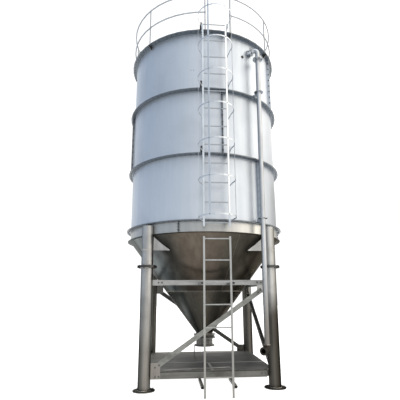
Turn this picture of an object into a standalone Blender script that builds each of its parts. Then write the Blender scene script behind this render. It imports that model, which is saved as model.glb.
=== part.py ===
"""Bolted steel grain silo on four pipe legs, with a caged ladder and a fill pipe.

Metres, +Z up, standing on z = 0.  The front, with the ladder, faces -Y.  Azimuths
are in degrees from the front (-Y), positive towards the right-hand side (+X).
The tank's own axis stands TANK_Y behind the origin, so that the origin is the
middle of the space that the whole silo takes on the ground.
"""
import math

import bmesh
import bpy
from mathutils import Matrix, Vector

GAP = 0.0003
MERGE = 0.00001
FULL_TURN = 360.0
SHARP_ANGLE = 35.0

# tank: three bolted rings of sheet with outward flanges
SHELL_R = 1.825
SHEET_T = 0.004
FLANGE_R = 1.926
FLANGE_T = 0.0117
LIP_R = SHELL_R + 0.062
LIP_T = 0.006
RIM_Z = 7.852
TOP_RING_H = 1.500
MIDDLE_RING_H = 1.541
LOWER_RING_H = 1.459
TOP_SEAM = 62.0
MIDDLE_SEAM = 8.5
LOWER_SEAM = 37.0
STEP = 7.5

# skirt and hopper under the tank
SKIRT_H = 0.241
HOPPER_LIP_R = 1.893
HOPPER_LIP_T = 0.008
HOPPER_WALL = 0.006
HOPPER_SEAM_Z = 1.926
HOPPER_END_Z = 0.965
NECK_END_Z = 0.938
OUTLET_R = 0.197
OUTLET_WALL = 0.006
OUTLET_TOP_R = 0.262
OUTLET_TOP_T = 0.016
OUTLET_SEAL_R = 0.228
OUTLET_SEAL_H = 0.058
OUTLET_END_Z = 0.666
OUTLET_END_R = 0.245
OUTLET_END_T = 0.024

# roof, out of sight from the ground
ROOF_RISE = 0.340
COVER_R = 0.300
COVER_H = 0.120
COVER_LID_R = 0.340
COVER_LID_T = 0.020

# frame of four pipe legs
LEG_HALF_SPAN = 1.327
LEG_R = 0.125
LEG_SIDES = 24
LEG_TOP_Z = 3.300
LEG_JOINT_Z = 2.430
LEG_FLANGE_R = 0.205
LEG_FLANGE_T = 0.024
BASE_R = 0.222
BASE_T = 0.016
WEB_T = 0.008
WEB_END_Z = 2.780

# members of each side of the frame, in the side's own plane
MEMBER_T = 0.007
BRACE_TOP_Z = 2.150
BRACE_H = 0.105
BRACE_LEDGE = 0.050
BRACE_END = 1.160
BEAM_TOP_Z = 0.349
BEAM_H = 0.141
BEAM_LEDGE = 0.055
BEAM_LEDGE_T = 0.009
BEAM_END = 1.170
DIAGONAL_W = 0.100
DIAGONAL_LEDGE = 0.060
DIAGONAL_LEDGE_CUT = 0.075
DIAGONAL_LOW = (-1.120, 0.425)
DIAGONAL_HIGH = (1.125, 1.945)
PLATE_T = 0.008
BRACE_PLATE_IN = 0.985
BRACE_PLATE_MARGIN = 0.005
HIGH_GUSSET_IN = 1.026
HIGH_GUSSET_Z = (1.885, 2.138)
LOW_GUSSET_IN = 1.010
LOW_GUSSET_Z = (0.208, 0.516)
BEAM_PLATE_IN = 1.035
BEAM_PLATE_Z = (0.222, 0.335)

# deck sheets laid on the lower beams
DECK_EDGE = 1.322
DECK_T = 0.004
DECK_SEAM_X = 0.050
DECK_SEAM_GAP = 0.002
DECK_NOTCH = 0.132

# ladders and cage
LADDER_X = 0.095
LADDER_Y = -2.000
LADDER_HALF_W = 0.265
STILE_W = 0.038
STILE_D = 0.025
RUNG_R = 0.013
RUNG_SIDES = 8
LOWER_LADDER_TOP_Z = 2.990
FOOT_RUNG_Z = 0.347
LOWER_RUNG_Z = 0.804
LOWER_RUNG_PITCH = 0.428
LOWER_RUNGS = 6
UPPER_LADDER_Z = (3.190, 7.945)
UPPER_RUNG_Z = 3.2715
UPPER_RUNG_PITCH = 0.4235
UPPER_RUNGS = 12
ARM_SIZE = 0.050
ARM_WALL = 0.003
ARM_PROUD = 0.004
ARM_BORE = 0.120
HIGH_ARM_Z = 2.068
BRACKET_T = 0.006
BRACKET_H = 0.100
BRACKET_REACH_IN = 0.012
CAGE_R = 0.370
CAGE_X = 0.066
CAGE_Y = -2.380
CAGE_BAR_AZ = (-92.0, -30.0, 30.0, 92.0)
CAGE_BAR_W = 0.038
CAGE_BAR_T = 0.005
HOOP_H = 0.030
HOOP_T = 0.005
HOOP_SWING = 112.5
HOOP_STEPS = 16
FIRST_HOOP_Z = 3.300
HOOP_PITCH = 0.7567
HOOPS = 8
CAGE_TOP_Z = 8.925
WELD_SINK = 0.001

# guard rail round the roof
RAIL_R = 1.880
RAIL_TUBE_R = 0.0165
RAIL_SIDES = 8
MID_RAIL_Z = 8.370
TOP_RAIL_Z = 8.865
RAIL_POSTS = {
    "guard_rail_left": (-2.5, -48.7, -100.0),
    "guard_rail_back": (-101.0, -152.0, -202.9),
    "guard_rail_right": (156.1, 105.1, 53.5, 15.0),
}

# fill pipe on the right of the front
PIPE_FOOT_X = 1.102
PIPE_Y = -1.660
PIPE_LEAN = 0.0096
PIPE_R = 0.0525
PIPE_WALL = 0.004
PIPE_SIDES = 16
PIPE_FLANGE_R = 0.115
PIPE_FLANGE_T = 0.014
PIPE_FLANGE_Z = 7.310
PIPE_END_Z = 0.868
HIGH_ELBOW_R = 0.090
HIGH_ELBOW_LEG = 0.165
ENTRY_AZ = 32.6
ENTRY_FLANGE_R = 0.100
ENTRY_FLANGE_REACH = 0.075
HOLE_REACH = 0.012
INLET_R = 0.060
LOW_ELBOW_R = 0.103
LOW_ELBOW_LEG = 0.085
LOW_ELBOW_AZ = -38.0
COUPLING_R = 0.077
COUPLING_L = 0.045
ELBOW_STEPS = 8
COLLAR_R = 0.104
COLLAR_T = 0.010
COLLAR_RISE = 0.086
COLLAR_PLATE_T = 0.010
COLLAR_PLATE_IN = 1.845

# the tank stands back from the origin by half of what the cage reaches past it
CAGE_FRONT = -CAGE_Y + CAGE_R + HOOP_T / 2
TANK_Y = (CAGE_FRONT - FLANGE_R) / 2

TOP_JOINT_Z = RIM_Z - TOP_RING_H
LOW_JOINT_Z = TOP_JOINT_Z - MIDDLE_RING_H
FOOT_JOINT_Z = LOW_JOINT_Z - LOWER_RING_H
SKIRT_END_Z = FOOT_JOINT_Z - SKIRT_H
HOPPER_TOP_Z = SKIRT_END_Z - GAP
HOPPER_SLOPE = (SHELL_R - OUTLET_R) / (HOPPER_TOP_Z - HOPPER_END_Z)
ROOF_FLANGE_Z = RIM_Z + GAP + FLANGE_T
LEG_CORNERS = ("front_left", "front_right", "back_right", "back_left")
SIDES = ("front", "right", "back", "left")


def polar(radius, azimuth, height=0.0):
    """Point at a radius and an azimuth from the tank's axis."""
    turn = math.radians(azimuth)
    return Vector((radius * math.sin(turn), -radius * math.cos(turn), height))


def hopper_radius(height):
    """Outer radius of the hopper's cone at a height."""
    return SHELL_R - (HOPPER_TOP_Z - height) * HOPPER_SLOPE


def clear_scene():
    """Remove every object that is already in the scene."""
    for item in list(bpy.data.objects):
        bpy.data.objects.remove(item, do_unlink=True)


def steel(name, colour, roughness, metallic=0.85):
    """Make a plain steel finish."""
    material = bpy.data.materials.new(name)
    material.use_nodes = True
    shader = material.node_tree.nodes["Principled BSDF"]
    shader.inputs["Base Color"].default_value = (*colour, 1.0)
    shader.inputs["Roughness"].default_value = roughness
    shader.inputs["Metallic"].default_value = metallic
    return material


def finish_mesh(name, mesh_data, smooth=True):
    """Close the working mesh and return it as a mesh with outward faces."""
    bmesh.ops.remove_doubles(mesh_data, verts=mesh_data.verts, dist=MERGE)
    bmesh.ops.recalc_face_normals(mesh_data, faces=mesh_data.faces)
    mesh = bpy.data.meshes.new(name)
    mesh_data.to_mesh(mesh)
    mesh_data.free()
    if smooth:
        mesh.shade_smooth()
        mesh.set_sharp_from_angle(angle=math.radians(SHARP_ANGLE))
    return mesh


def lofted_mesh(name, loops, ring=False):
    """Bridge a row of closed loops of points, and cap the ends unless it is a ring."""
    work = bmesh.new()
    rows = [[work.verts.new(point) for point in loop] for loop in loops]
    count = len(rows[0])
    pairs = list(zip(rows, rows[1:]))
    if ring:
        pairs.append((rows[-1], rows[0]))
    for row, following in pairs:
        for i in range(count):
            j = (i + 1) % count
            work.faces.new((row[i], row[j], following[j], following[i]))
    if not ring:
        work.faces.new(rows[0])
        work.faces.new(rows[-1])
    return finish_mesh(name, work)


def turned_mesh(name, outline, steps, closed=False):
    """Spin an outline of (radius, height) points a full turn about +Z."""
    work = bmesh.new()
    points = [work.verts.new((0.0, -radius, height)) for radius, height in outline]
    edges = [work.edges.new(pair) for pair in zip(points, points[1:])]
    if closed:
        edges.append(work.edges.new((points[-1], points[0])))
    bmesh.ops.spin(
        work,
        geom=points + edges,
        axis=(0.0, 0.0, 1.0),
        cent=(0.0, 0.0, 0.0),
        angle=math.radians(FULL_TURN),
        steps=steps,
        use_merge=False,
    )
    return finish_mesh(name, work)


def add_box(work, low, high):
    """Add a box between two corners to a working mesh."""
    low = Vector(low)
    high = Vector(high)
    size = high - low
    place = Matrix.Translation((low + high) / 2) @ Matrix.Diagonal((*size, 1.0))
    bmesh.ops.create_cube(work, size=1.0, matrix=place)


def boxes_mesh(name, corners):
    """Mesh of separate boxes, each given by its two corners."""
    work = bmesh.new()
    for low, high in corners:
        add_box(work, low, high)
    return finish_mesh(name, work, smooth=False)


def prism_mesh(name, outline, depth):
    """Extrude a closed outline of points along a depth vector."""
    shift = Vector(depth)
    base = [Vector(point) for point in outline]
    mesh = lofted_mesh(name, [base, [point + shift for point in base]])
    mesh.shade_flat()
    return mesh


def circle_points(centre, direction, radius, side, sides):
    """Points of a circle about a centre, square to a direction, the first towards a side."""
    first = (side - direction * side.dot(direction)).normalized()
    second = direction.cross(first)
    turns = [math.tau * i / sides for i in range(sides)]
    return [centre + (first * math.cos(t) + second * math.sin(t)) * radius for t in turns]


def pipe_mesh(name, stations, side, bore, sides):
    """Sweep a hollow pipe through stations of (centre, direction, outer radius)."""
    outer = [circle_points(*station, side, sides) for station in stations]
    inner = [circle_points(*station[:2], bore, side, sides) for station in stations]
    work = bmesh.new()
    outer_rows = [[work.verts.new(point) for point in loop] for loop in outer]
    inner_rows = [[work.verts.new(point) for point in loop] for loop in inner]
    strips = list(zip(outer_rows, outer_rows[1:]))
    strips += list(zip(inner_rows, inner_rows[1:]))
    strips += [(outer_rows[0], inner_rows[0]), (outer_rows[-1], inner_rows[-1])]
    for row, following in strips:
        for i in range(sides):
            j = (i + 1) % sides
            work.faces.new((row[i], row[j], following[j], following[i]))
    return finish_mesh(name, work)


def rod_loops(points, radius, sides):
    """Loops of a round bar that follows a row of points lying in one level plane."""
    loops = []
    for i, point in enumerate(points):
        before = points[max(i - 1, 0)]
        after = points[min(i + 1, len(points) - 1)]
        along = (after - before).normalized()
        across = Vector((0.0, 0.0, 1.0)).cross(along)
        loop = []
        for k in range(sides):
            turn = math.tau * (k + 0.5) / sides
            offset = across * math.cos(turn) + Vector((0.0, 0.0, math.sin(turn)))
            loop.append(point + offset * radius)
        loops.append(loop)
    return loops


def add_loft(work, loops):
    """Add a capped loft to a working mesh."""
    rows = [[work.verts.new(point) for point in loop] for loop in loops]
    count = len(rows[0])
    for row, following in zip(rows, rows[1:]):
        for i in range(count):
            j = (i + 1) % count
            work.faces.new((row[i], row[j], following[j], following[i]))
    work.faces.new(rows[0])
    work.faces.new(rows[-1])


def place(name, mesh, material, parent, turn=0.0, location=(0.0, 0.0, 0.0)):
    """Make an object of a mesh, turned about its origin and set under a parent."""
    item = bpy.data.objects.new(name, mesh)
    bpy.context.scene.collection.objects.link(item)
    if material is not None and not mesh.materials:
        mesh.materials.append(material)
    item.parent = parent
    item.location = location
    item.rotation_euler = (0.0, 0.0, math.radians(turn))
    return item


def combine(item, tool, operation):
    """Join a hidden tool object to an item, or cut the item with it."""
    tool.hide_render = True
    tool.display_type = "WIRE"
    step = item.modifiers.new(operation.title(), "BOOLEAN")
    step.operation = operation
    step.solver = "EXACT"
    step.object = tool


def shell_segment(name, start, sweep, low_z, high_z, material, tank):
    """One bolted sheet of a ring, with flanges top and bottom and a lip at each end."""
    low = low_z + GAP / 2
    high = high_z - GAP / 2
    inner = SHELL_R - SHEET_T

    def station(azimuth, web_r):
        outline = (
            (inner, low),
            (FLANGE_R, low),
            (FLANGE_R, low + FLANGE_T),
            (web_r, low + FLANGE_T),
            (web_r, high - FLANGE_T),
            (FLANGE_R, high - FLANGE_T),
            (FLANGE_R, high),
            (inner, high),
        )
        return [polar(radius, azimuth, height) for radius, height in outline]

    clearance = math.degrees(GAP / SHELL_R)
    lip_angle = math.degrees(LIP_T / SHELL_R)
    first = start + clearance
    last = start + sweep - clearance
    steps = round(sweep / STEP)
    azimuths = [start + sweep * i / steps for i in range(1, steps)]
    loops = [station(first, LIP_R), station(first + lip_angle, LIP_R)]
    loops.append(station(first + lip_angle, SHELL_R))
    loops += [station(azimuth, SHELL_R) for azimuth in azimuths]
    loops.append(station(last - lip_angle, SHELL_R))
    loops += [station(last - lip_angle, LIP_R), station(last, LIP_R)]
    return place(name, lofted_mesh(name, loops), material, tank)


def build_shell(material, tank):
    """Three rings: two halves, four quarters and two halves."""
    sheets = {}
    rings = (
        ("top_ring", TOP_SEAM, ("back", "front"), TOP_JOINT_Z, RIM_Z),
        (
            "middle_ring",
            MIDDLE_SEAM,
            ("front_right", "back_right", "back_left", "front_left"),
            LOW_JOINT_Z,
            TOP_JOINT_Z,
        ),
        ("lower_ring", LOWER_SEAM, ("back", "front"), FOOT_JOINT_Z, LOW_JOINT_Z),
    )
    for ring, seam, names, low_z, high_z in rings:
        sweep = FULL_TURN / len(names)
        for i, part_name in enumerate(names):
            start = seam + sweep * i
            name = f"{ring}_{part_name}"
            sheets[name] = shell_segment(name, start, sweep, low_z, high_z, material, tank)
    return sheets


def build_hopper(shell_steel, hopper_steel, tank):
    """Skirt, two courses of the cone and the outlet collar."""
    steps = round(FULL_TURN / STEP)
    inner = SHELL_R - SHEET_T
    top = FOOT_JOINT_Z - GAP / 2
    skirt = (
        (inner, SKIRT_END_Z),
        (SHELL_R, SKIRT_END_Z),
        (SHELL_R, top - FLANGE_T),
        (FLANGE_R, top - FLANGE_T),
        (FLANGE_R, top),
        (inner, top),
    )
    place("skirt", turned_mesh("skirt", skirt, steps, closed=True), shell_steel, tank)

    lip_under = HOPPER_TOP_Z - HOPPER_LIP_T
    seam_top = HOPPER_SEAM_Z + GAP / 2
    seam_under = HOPPER_SEAM_Z - GAP / 2
    upper = (
        (SHELL_R - HOPPER_WALL, HOPPER_TOP_Z),
        (HOPPER_LIP_R, HOPPER_TOP_Z),
        (HOPPER_LIP_R, lip_under),
        (hopper_radius(lip_under), lip_under),
        (hopper_radius(seam_top), seam_top),
        (hopper_radius(seam_top) - HOPPER_WALL, seam_top),
    )
    lower = (
        (hopper_radius(seam_under) - HOPPER_WALL, seam_under),
        (hopper_radius(seam_under), seam_under),
        (OUTLET_R, HOPPER_END_Z),
        (OUTLET_R, NECK_END_Z),
        (OUTLET_R - HOPPER_WALL, NECK_END_Z),
        (OUTLET_R - HOPPER_WALL, HOPPER_END_Z),
    )
    collar_top = NECK_END_Z - GAP
    seal_top = collar_top - OUTLET_TOP_T
    seal_end = seal_top - OUTLET_SEAL_H
    bore = OUTLET_R - OUTLET_WALL
    outlet = (
        (bore, OUTLET_END_Z),
        (OUTLET_END_R, OUTLET_END_Z),
        (OUTLET_END_R, OUTLET_END_Z + OUTLET_END_T),
        (OUTLET_R, OUTLET_END_Z + OUTLET_END_T),
        (OUTLET_R, seal_end - OUTLET_TOP_T),
        (OUTLET_TOP_R, seal_end - OUTLET_TOP_T),
        (OUTLET_TOP_R, seal_end),
        (OUTLET_SEAL_R, seal_end),
        (OUTLET_SEAL_R, seal_top),
        (OUTLET_TOP_R, seal_top),
        (OUTLET_TOP_R, collar_top),
        (bore, collar_top),
    )
    for name, outline in (("hopper_upper", upper), ("hopper_lower", lower)):
        place(name, turned_mesh(name, outline, steps, closed=True), hopper_steel, tank)
    collar = turned_mesh("outlet_collar", outlet, steps // 2, closed=True)
    place("outlet_collar", collar, hopper_steel, tank)


def build_roof(material, tank):
    """Low cone with a bolted rim, and the round cover at its middle."""
    steps = round(FULL_TURN / STEP)
    under = RIM_Z + GAP / 2
    apex = ROOF_FLANGE_Z + ROOF_RISE
    roof = (
        (0.0, apex),
        (SHELL_R, ROOF_FLANGE_Z),
        (FLANGE_R, ROOF_FLANGE_Z),
        (FLANGE_R, under),
        (SHELL_R - SHEET_T, under),
        (0.0, apex - FLANGE_T),
    )
    place("roof", turned_mesh("roof", roof, steps), material, tank)

    slope = ROOF_RISE / SHELL_R
    foot = apex - COVER_R * slope + GAP
    top = foot + COVER_H
    cover = (
        (0.0, top + COVER_LID_T),
        (COVER_LID_R, top + COVER_LID_T),
        (COVER_LID_R, top),
        (COVER_R, top),
        (COVER_R, foot),
        (0.0, apex + GAP),
    )
    place("roof_cover", turned_mesh("roof_cover", cover, steps), material, tank)


def build_cope(tank):
    """Solid of the skirt, its lip and the cone, which shapes the tops of the legs."""
    under = HOPPER_TOP_Z - HOPPER_LIP_T - GAP
    outline = (
        (0.0, LEG_TOP_Z + LEG_R),
        (SHELL_R + GAP, LEG_TOP_Z + LEG_R),
        (SHELL_R + GAP, SKIRT_END_Z + GAP),
        (HOPPER_LIP_R + GAP, SKIRT_END_Z + GAP),
        (HOPPER_LIP_R + GAP, under),
        (hopper_radius(under) + GAP * 2, under),
        (OUTLET_R + GAP * 2, HOPPER_END_Z),
        (0.0, HOPPER_END_Z),
    )
    mesh = turned_mesh("leg_cope", outline, round(FULL_TURN / STEP))
    return place("leg_cope", mesh, None, tank)


def build_legs(leg_steel, tank):
    """Four turned legs with base plates, bolted under stubs welded to the skirt."""
    corner = Vector((-LEG_HALF_SPAN, -LEG_HALF_SPAN, 0.0))
    joint = LEG_JOINT_Z - GAP / 2
    column = (
        (0.0, joint),
        (LEG_FLANGE_R, joint),
        (LEG_FLANGE_R, joint - LEG_FLANGE_T),
        (LEG_R, joint - LEG_FLANGE_T),
        (LEG_R, BASE_T),
        (BASE_R, BASE_T),
        (BASE_R, 0.0),
        (0.0, 0.0),
    )
    joint = LEG_JOINT_Z + GAP / 2
    stub = (
        (0.0, LEG_TOP_Z),
        (LEG_R, LEG_TOP_Z),
        (LEG_R, joint + LEG_FLANGE_T),
        (LEG_FLANGE_R, joint + LEG_FLANGE_T),
        (LEG_FLANGE_R, joint),
        (0.0, joint),
    )
    column_mesh = turned_mesh("leg_column", column, LEG_SIDES)
    column_mesh.transform(Matrix.Translation(corner))
    stub_mesh = turned_mesh("leg_stub", stub, LEG_SIDES)
    stub_mesh.transform(Matrix.Translation(corner))

    half = LEG_HALF_SPAN
    front = half + MEMBER_T / 2 + GAP
    behind = half - MEMBER_T / 2 - GAP
    brace_low = BRACE_TOP_Z - BRACE_H - BRACE_PLATE_MARGIN
    brace_high = BRACE_TOP_Z + BRACE_PLATE_MARGIN
    plates = boxes_mesh(
        "leg_plates",
        (
            ((-half, -front - PLATE_T, brace_low), (-BRACE_PLATE_IN, -front, brace_high)),
            ((-half, -front - PLATE_T, LOW_GUSSET_Z[0]), (-LOW_GUSSET_IN, -front, LOW_GUSSET_Z[1])),
            ((-behind, -half, HIGH_GUSSET_Z[0]), (-behind + PLATE_T, -HIGH_GUSSET_IN, HIGH_GUSSET_Z[1])),
            ((-behind, -half, BEAM_PLATE_Z[0]), (-behind + PLATE_T, -BEAM_PLATE_IN, BEAM_PLATE_Z[1])),
        ),
    )
    web_in = half - 2 * LEG_R - 2 * WEB_T - LEG_FLANGE_R
    webs = boxes_mesh(
        "leg_webs",
        (
            ((-half, -half - WEB_T / 2, WEB_END_Z), (-web_in, -half + WEB_T / 2, SKIRT_END_Z)),
            ((-half - WEB_T / 2, -half, WEB_END_Z), (-half + WEB_T / 2, -web_in, SKIRT_END_Z)),
        ),
    )
    cope = build_cope(tank)
    for i, where in enumerate(LEG_CORNERS):
        turn = 90.0 * i
        column_item = place(f"{where}_leg", column_mesh, leg_steel, tank, turn)
        plate_item = place(f"{where}_leg_plates", plates, None, tank, turn)
        combine(column_item, plate_item, "UNION")
        stub_item = place(f"{where}_leg_top", stub_mesh, leg_steel, tank, turn)
        web_item = place(f"{where}_leg_webs", webs, None, tank, turn)
        combine(stub_item, web_item, "UNION")
        combine(stub_item, cope, "DIFFERENCE")


def arms_mesh(name, height, back_y, bore):
    """Pair of square tubes that hold the lower ladder by its stiles, or their open ends."""
    half = ARM_SIZE / 2 - (ARM_WALL if bore else 0.0)
    front_y = LADDER_Y - STILE_D / 2 - ARM_PROUD
    if bore:
        back_y = front_y + ARM_BORE
        front_y -= ARM_PROUD
    corners = []
    for side in (-1.0, 1.0):
        centre = LADDER_X + side * (LADDER_HALF_W + STILE_W / 2 + GAP + ARM_SIZE / 2)
        low = (centre - half, front_y, height - half)
        high = (centre + half, back_y, height + half)
        corners.append((low, high))
    return boxes_mesh(name, corners)


def diagonal_mesh(face):
    """Angle bar whose ledge points inwards and stops short of the upper gusset."""
    start = Vector((DIAGONAL_LOW[0], 0.0, DIAGONAL_LOW[1]))
    end = Vector((DIAGONAL_HIGH[0], 0.0, DIAGONAL_HIGH[1]))
    along = (end - start).normalized()
    across = Vector((-along.z, 0.0, along.x))
    back = face + MEMBER_T
    loops = []
    cut = end - along * DIAGONAL_LEDGE_CUT
    for spot, ledge in ((start, DIAGONAL_LEDGE), (cut, DIAGONAL_LEDGE), (cut, 0.0), (end, 0.0)):
        low = -DIAGONAL_W / 2
        profile = (
            (low, face),
            (low, back + ledge),
            (low + MEMBER_T, back + ledge),
            (low + MEMBER_T, back),
            (-low, back),
            (-low, face),
        )
        loops.append([spot + across * rise + Vector((0.0, y, 0.0)) for rise, y in profile])
    mesh = lofted_mesh("diagonal", loops)
    mesh.shade_flat()
    return mesh


def build_side_members(brace_steel, beam_steel, tank):
    """Top brace, diagonal and lower beam of each of the frame's four sides."""
    face = -LEG_HALF_SPAN - MEMBER_T / 2
    back = face + MEMBER_T
    under = BRACE_TOP_Z - BRACE_H
    brace_outline = (
        (-BRACE_END, face, under),
        (-BRACE_END, back, under),
        (-BRACE_END, back, BRACE_TOP_Z - MEMBER_T),
        (-BRACE_END, back + BRACE_LEDGE, BRACE_TOP_Z - MEMBER_T),
        (-BRACE_END, back + BRACE_LEDGE, BRACE_TOP_Z),
        (-BRACE_END, face, BRACE_TOP_Z),
    )
    low = BEAM_TOP_Z - BEAM_H
    beam_outline = (
        (-BEAM_END, face, low),
        (-BEAM_END, back + BEAM_LEDGE, low),
        (-BEAM_END, back + BEAM_LEDGE, low + BEAM_LEDGE_T),
        (-BEAM_END, back, low + BEAM_LEDGE_T),
        (-BEAM_END, back, BEAM_TOP_Z - BEAM_LEDGE_T),
        (-BEAM_END, back + BEAM_LEDGE, BEAM_TOP_Z - BEAM_LEDGE_T),
        (-BEAM_END, back + BEAM_LEDGE, BEAM_TOP_Z),
        (-BEAM_END, face, BEAM_TOP_Z),
    )
    brace = prism_mesh("brace", brace_outline, (2 * BRACE_END, 0.0, 0.0))
    beam = prism_mesh("beam", beam_outline, (2 * BEAM_END, 0.0, 0.0))
    diagonal = diagonal_mesh(face)
    made = {}
    for i, side in enumerate(SIDES):
        turn = 90.0 * i
        made[f"{side}_brace"] = place(f"{side}_brace", brace, brace_steel, tank, turn)
        place(f"{side}_diagonal", diagonal, brace_steel, tank, turn)
        made[f"{side}_beam"] = place(f"{side}_beam", beam, beam_steel, tank, turn)

    low_arm_z = low - ARM_SIZE / 2 + WELD_SINK
    arms = (
        ("front_brace", HIGH_ARM_Z, face + WELD_SINK),
        ("front_beam", low_arm_z, face + BEAM_LEDGE),
    )
    for name, height, back_y in arms:
        arm = place(f"{name}_arms", arms_mesh(f"{name}_arms", height, back_y, False), None, tank)
        bore = place(f"{name}_bores", arms_mesh(f"{name}_bores", height, back_y, True), None, tank)
        combine(made[name], arm, "UNION")
        combine(made[name], bore, "DIFFERENCE")


def build_deck(material, tank):
    """Two sheets laid on the lower beams, notched round the legs."""
    bottom = BEAM_TOP_Z + GAP
    notch = LEG_HALF_SPAN - DECK_NOTCH
    for name, side in (("deck_left", -1.0), ("deck_right", 1.0)):
        seam = DECK_SEAM_X + side * DECK_SEAM_GAP / 2
        outline = (
            (seam, -DECK_EDGE, bottom),
            (side * notch, -DECK_EDGE, bottom),
            (side * notch, -notch, bottom),
            (side * DECK_EDGE, -notch, bottom),
            (side * DECK_EDGE, notch, bottom),
            (side * notch, notch, bottom),
            (side * notch, DECK_EDGE, bottom),
            (seam, DECK_EDGE, bottom),
        )
        place(name, prism_mesh(name, outline, (0.0, 0.0, DECK_T)), material, tank)


def rungs_mesh(name, heights):
    """Round rungs between the two stiles."""
    work = bmesh.new()
    reach = LADDER_HALF_W - STILE_W / 2 + WELD_SINK
    for height in heights:
        ends = [Vector((LADDER_X + side * reach, LADDER_Y, height)) for side in (-1.0, 1.0)]
        add_loft(work, rod_loops(ends, RUNG_R, RUNG_SIDES))
    return finish_mesh(name, work)


def stile_box(side, low_z, high_z):
    """Corners of one stile."""
    centre = LADDER_X + side * LADDER_HALF_W
    low = (centre - STILE_W / 2, LADDER_Y - STILE_D / 2, low_z)
    high = (centre + STILE_W / 2, LADDER_Y + STILE_D / 2, high_z)
    return low, high


def build_ladders(material, tank):
    """Lower ladder on the ground, and upper ladder on brackets from the rings."""
    lower_rungs = [LOWER_RUNG_Z + LOWER_RUNG_PITCH * i for i in range(LOWER_RUNGS)]
    upper_rungs = [UPPER_RUNG_Z + UPPER_RUNG_PITCH * i for i in range(UPPER_RUNGS)]
    ladders = (
        ("lower_ladder", (0.0, LOWER_LADDER_TOP_Z), [FOOT_RUNG_Z, *lower_rungs]),
        ("upper_ladder", UPPER_LADDER_Z, upper_rungs),
    )
    made = {}
    for name, reach, heights in ladders:
        stiles = boxes_mesh(name, [stile_box(side, *reach) for side in (-1.0, 1.0)])
        made[name] = place(name, stiles, material, tank)
        rungs = place(f"{name}_rungs", rungs_mesh(f"{name}_rungs", heights), None, tank)
        combine(made[name], rungs, "UNION")
    brackets = place("upper_ladder_brackets", bracket_mesh(), None, tank)
    combine(made["upper_ladder"], brackets, "UNION")


def bracket_mesh():
    """Plates that stand the upper ladder off the flanges of the rings."""
    work = bmesh.new()
    for joint_z in (RIM_Z, TOP_JOINT_Z, LOW_JOINT_Z, FOOT_JOINT_Z):
        top = joint_z - FLANGE_T - 2 * GAP
        for side in (-1.0, 1.0):
            outer = LADDER_X + side * (LADDER_HALF_W + STILE_W / 2 - WELD_SINK)
            wall = -math.sqrt((SHELL_R + 2 * GAP) ** 2 - outer ** 2)
            profile = (
                (wall - BRACKET_REACH_IN, top),
                (LADDER_Y + STILE_D / 2, top),
                (LADDER_Y, top - BRACKET_T),
                (LADDER_Y, top - BRACKET_H),
                (LADDER_Y + STILE_D / 2, top - BRACKET_H),
            )
            loops = []
            for offset in (0.0, side * BRACKET_T):
                loops.append([Vector((outer + offset, y, z)) for y, z in profile])
            add_loft(work, loops)
    return finish_mesh("upper_ladder_brackets", work, smooth=False)


def hoop_path():
    """Centreline of a cage hoop in plan, from one stile round to the other."""
    centre = Vector((CAGE_X, CAGE_Y, 0.0))
    tail = LADDER_HALF_W + STILE_W / 2 + GAP + HOOP_T / 2
    bend_y = LADDER_Y - STILE_D
    end_y = LADDER_Y - GAP
    path = [Vector((LADDER_X - tail, y, 0.0)) for y in (end_y, bend_y)]
    for i in range(HOOP_STEPS + 1):
        azimuth = -HOOP_SWING + 2 * HOOP_SWING * i / HOOP_STEPS
        path.append(centre + polar(CAGE_R, azimuth))
    path += [Vector((LADDER_X + tail, y, 0.0)) for y in (bend_y, end_y)]
    return path


def build_cage(material, tank):
    """Flat hoops round the upper ladder, joined by four upright straps."""
    path = hoop_path()
    heights = [FIRST_HOOP_Z + HOOP_PITCH * i for i in range(HOOPS)]
    heights.append(CAGE_TOP_Z)
    work = bmesh.new()
    for height in heights:
        loops = []
        for i, point in enumerate(path):
            before = path[max(i - 1, 0)]
            after = path[min(i + 1, len(path) - 1)]
            along = (after - before).normalized()
            across = Vector((along.y, -along.x, 0.0)) * HOOP_T / 2
            low = Vector((0.0, 0.0, height - HOOP_H / 2))
            high = Vector((0.0, 0.0, height + HOOP_H / 2))
            ring = (point - across + low, point + across + low)
            loops.append([*ring, point + across + high, point - across + high])
        add_loft(work, loops)
    cage = place("cage", finish_mesh("cage", work), material, tank)

    work = bmesh.new()
    foot = heights[0] - HOOP_H / 2
    rise = heights[-1] - foot
    for azimuth in CAGE_BAR_AZ:
        inner = CAGE_R - HOOP_T / 2 - CAGE_BAR_T + 2 * WELD_SINK
        centre = Vector((CAGE_X, CAGE_Y, foot)) + polar(inner + CAGE_BAR_T / 2, azimuth)
        size = Matrix.Diagonal((CAGE_BAR_W, CAGE_BAR_T, rise, 1.0))
        spin = Matrix.Rotation(math.radians(azimuth), 4, "Z")
        lift = Matrix.Translation(centre + Vector((0.0, 0.0, rise / 2)))
        bmesh.ops.create_cube(work, size=1.0, matrix=lift @ spin @ size)
    bars = place("cage_bars", finish_mesh("cage_bars", work, smooth=False), None, tank)
    combine(cage, bars, "UNION")


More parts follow.
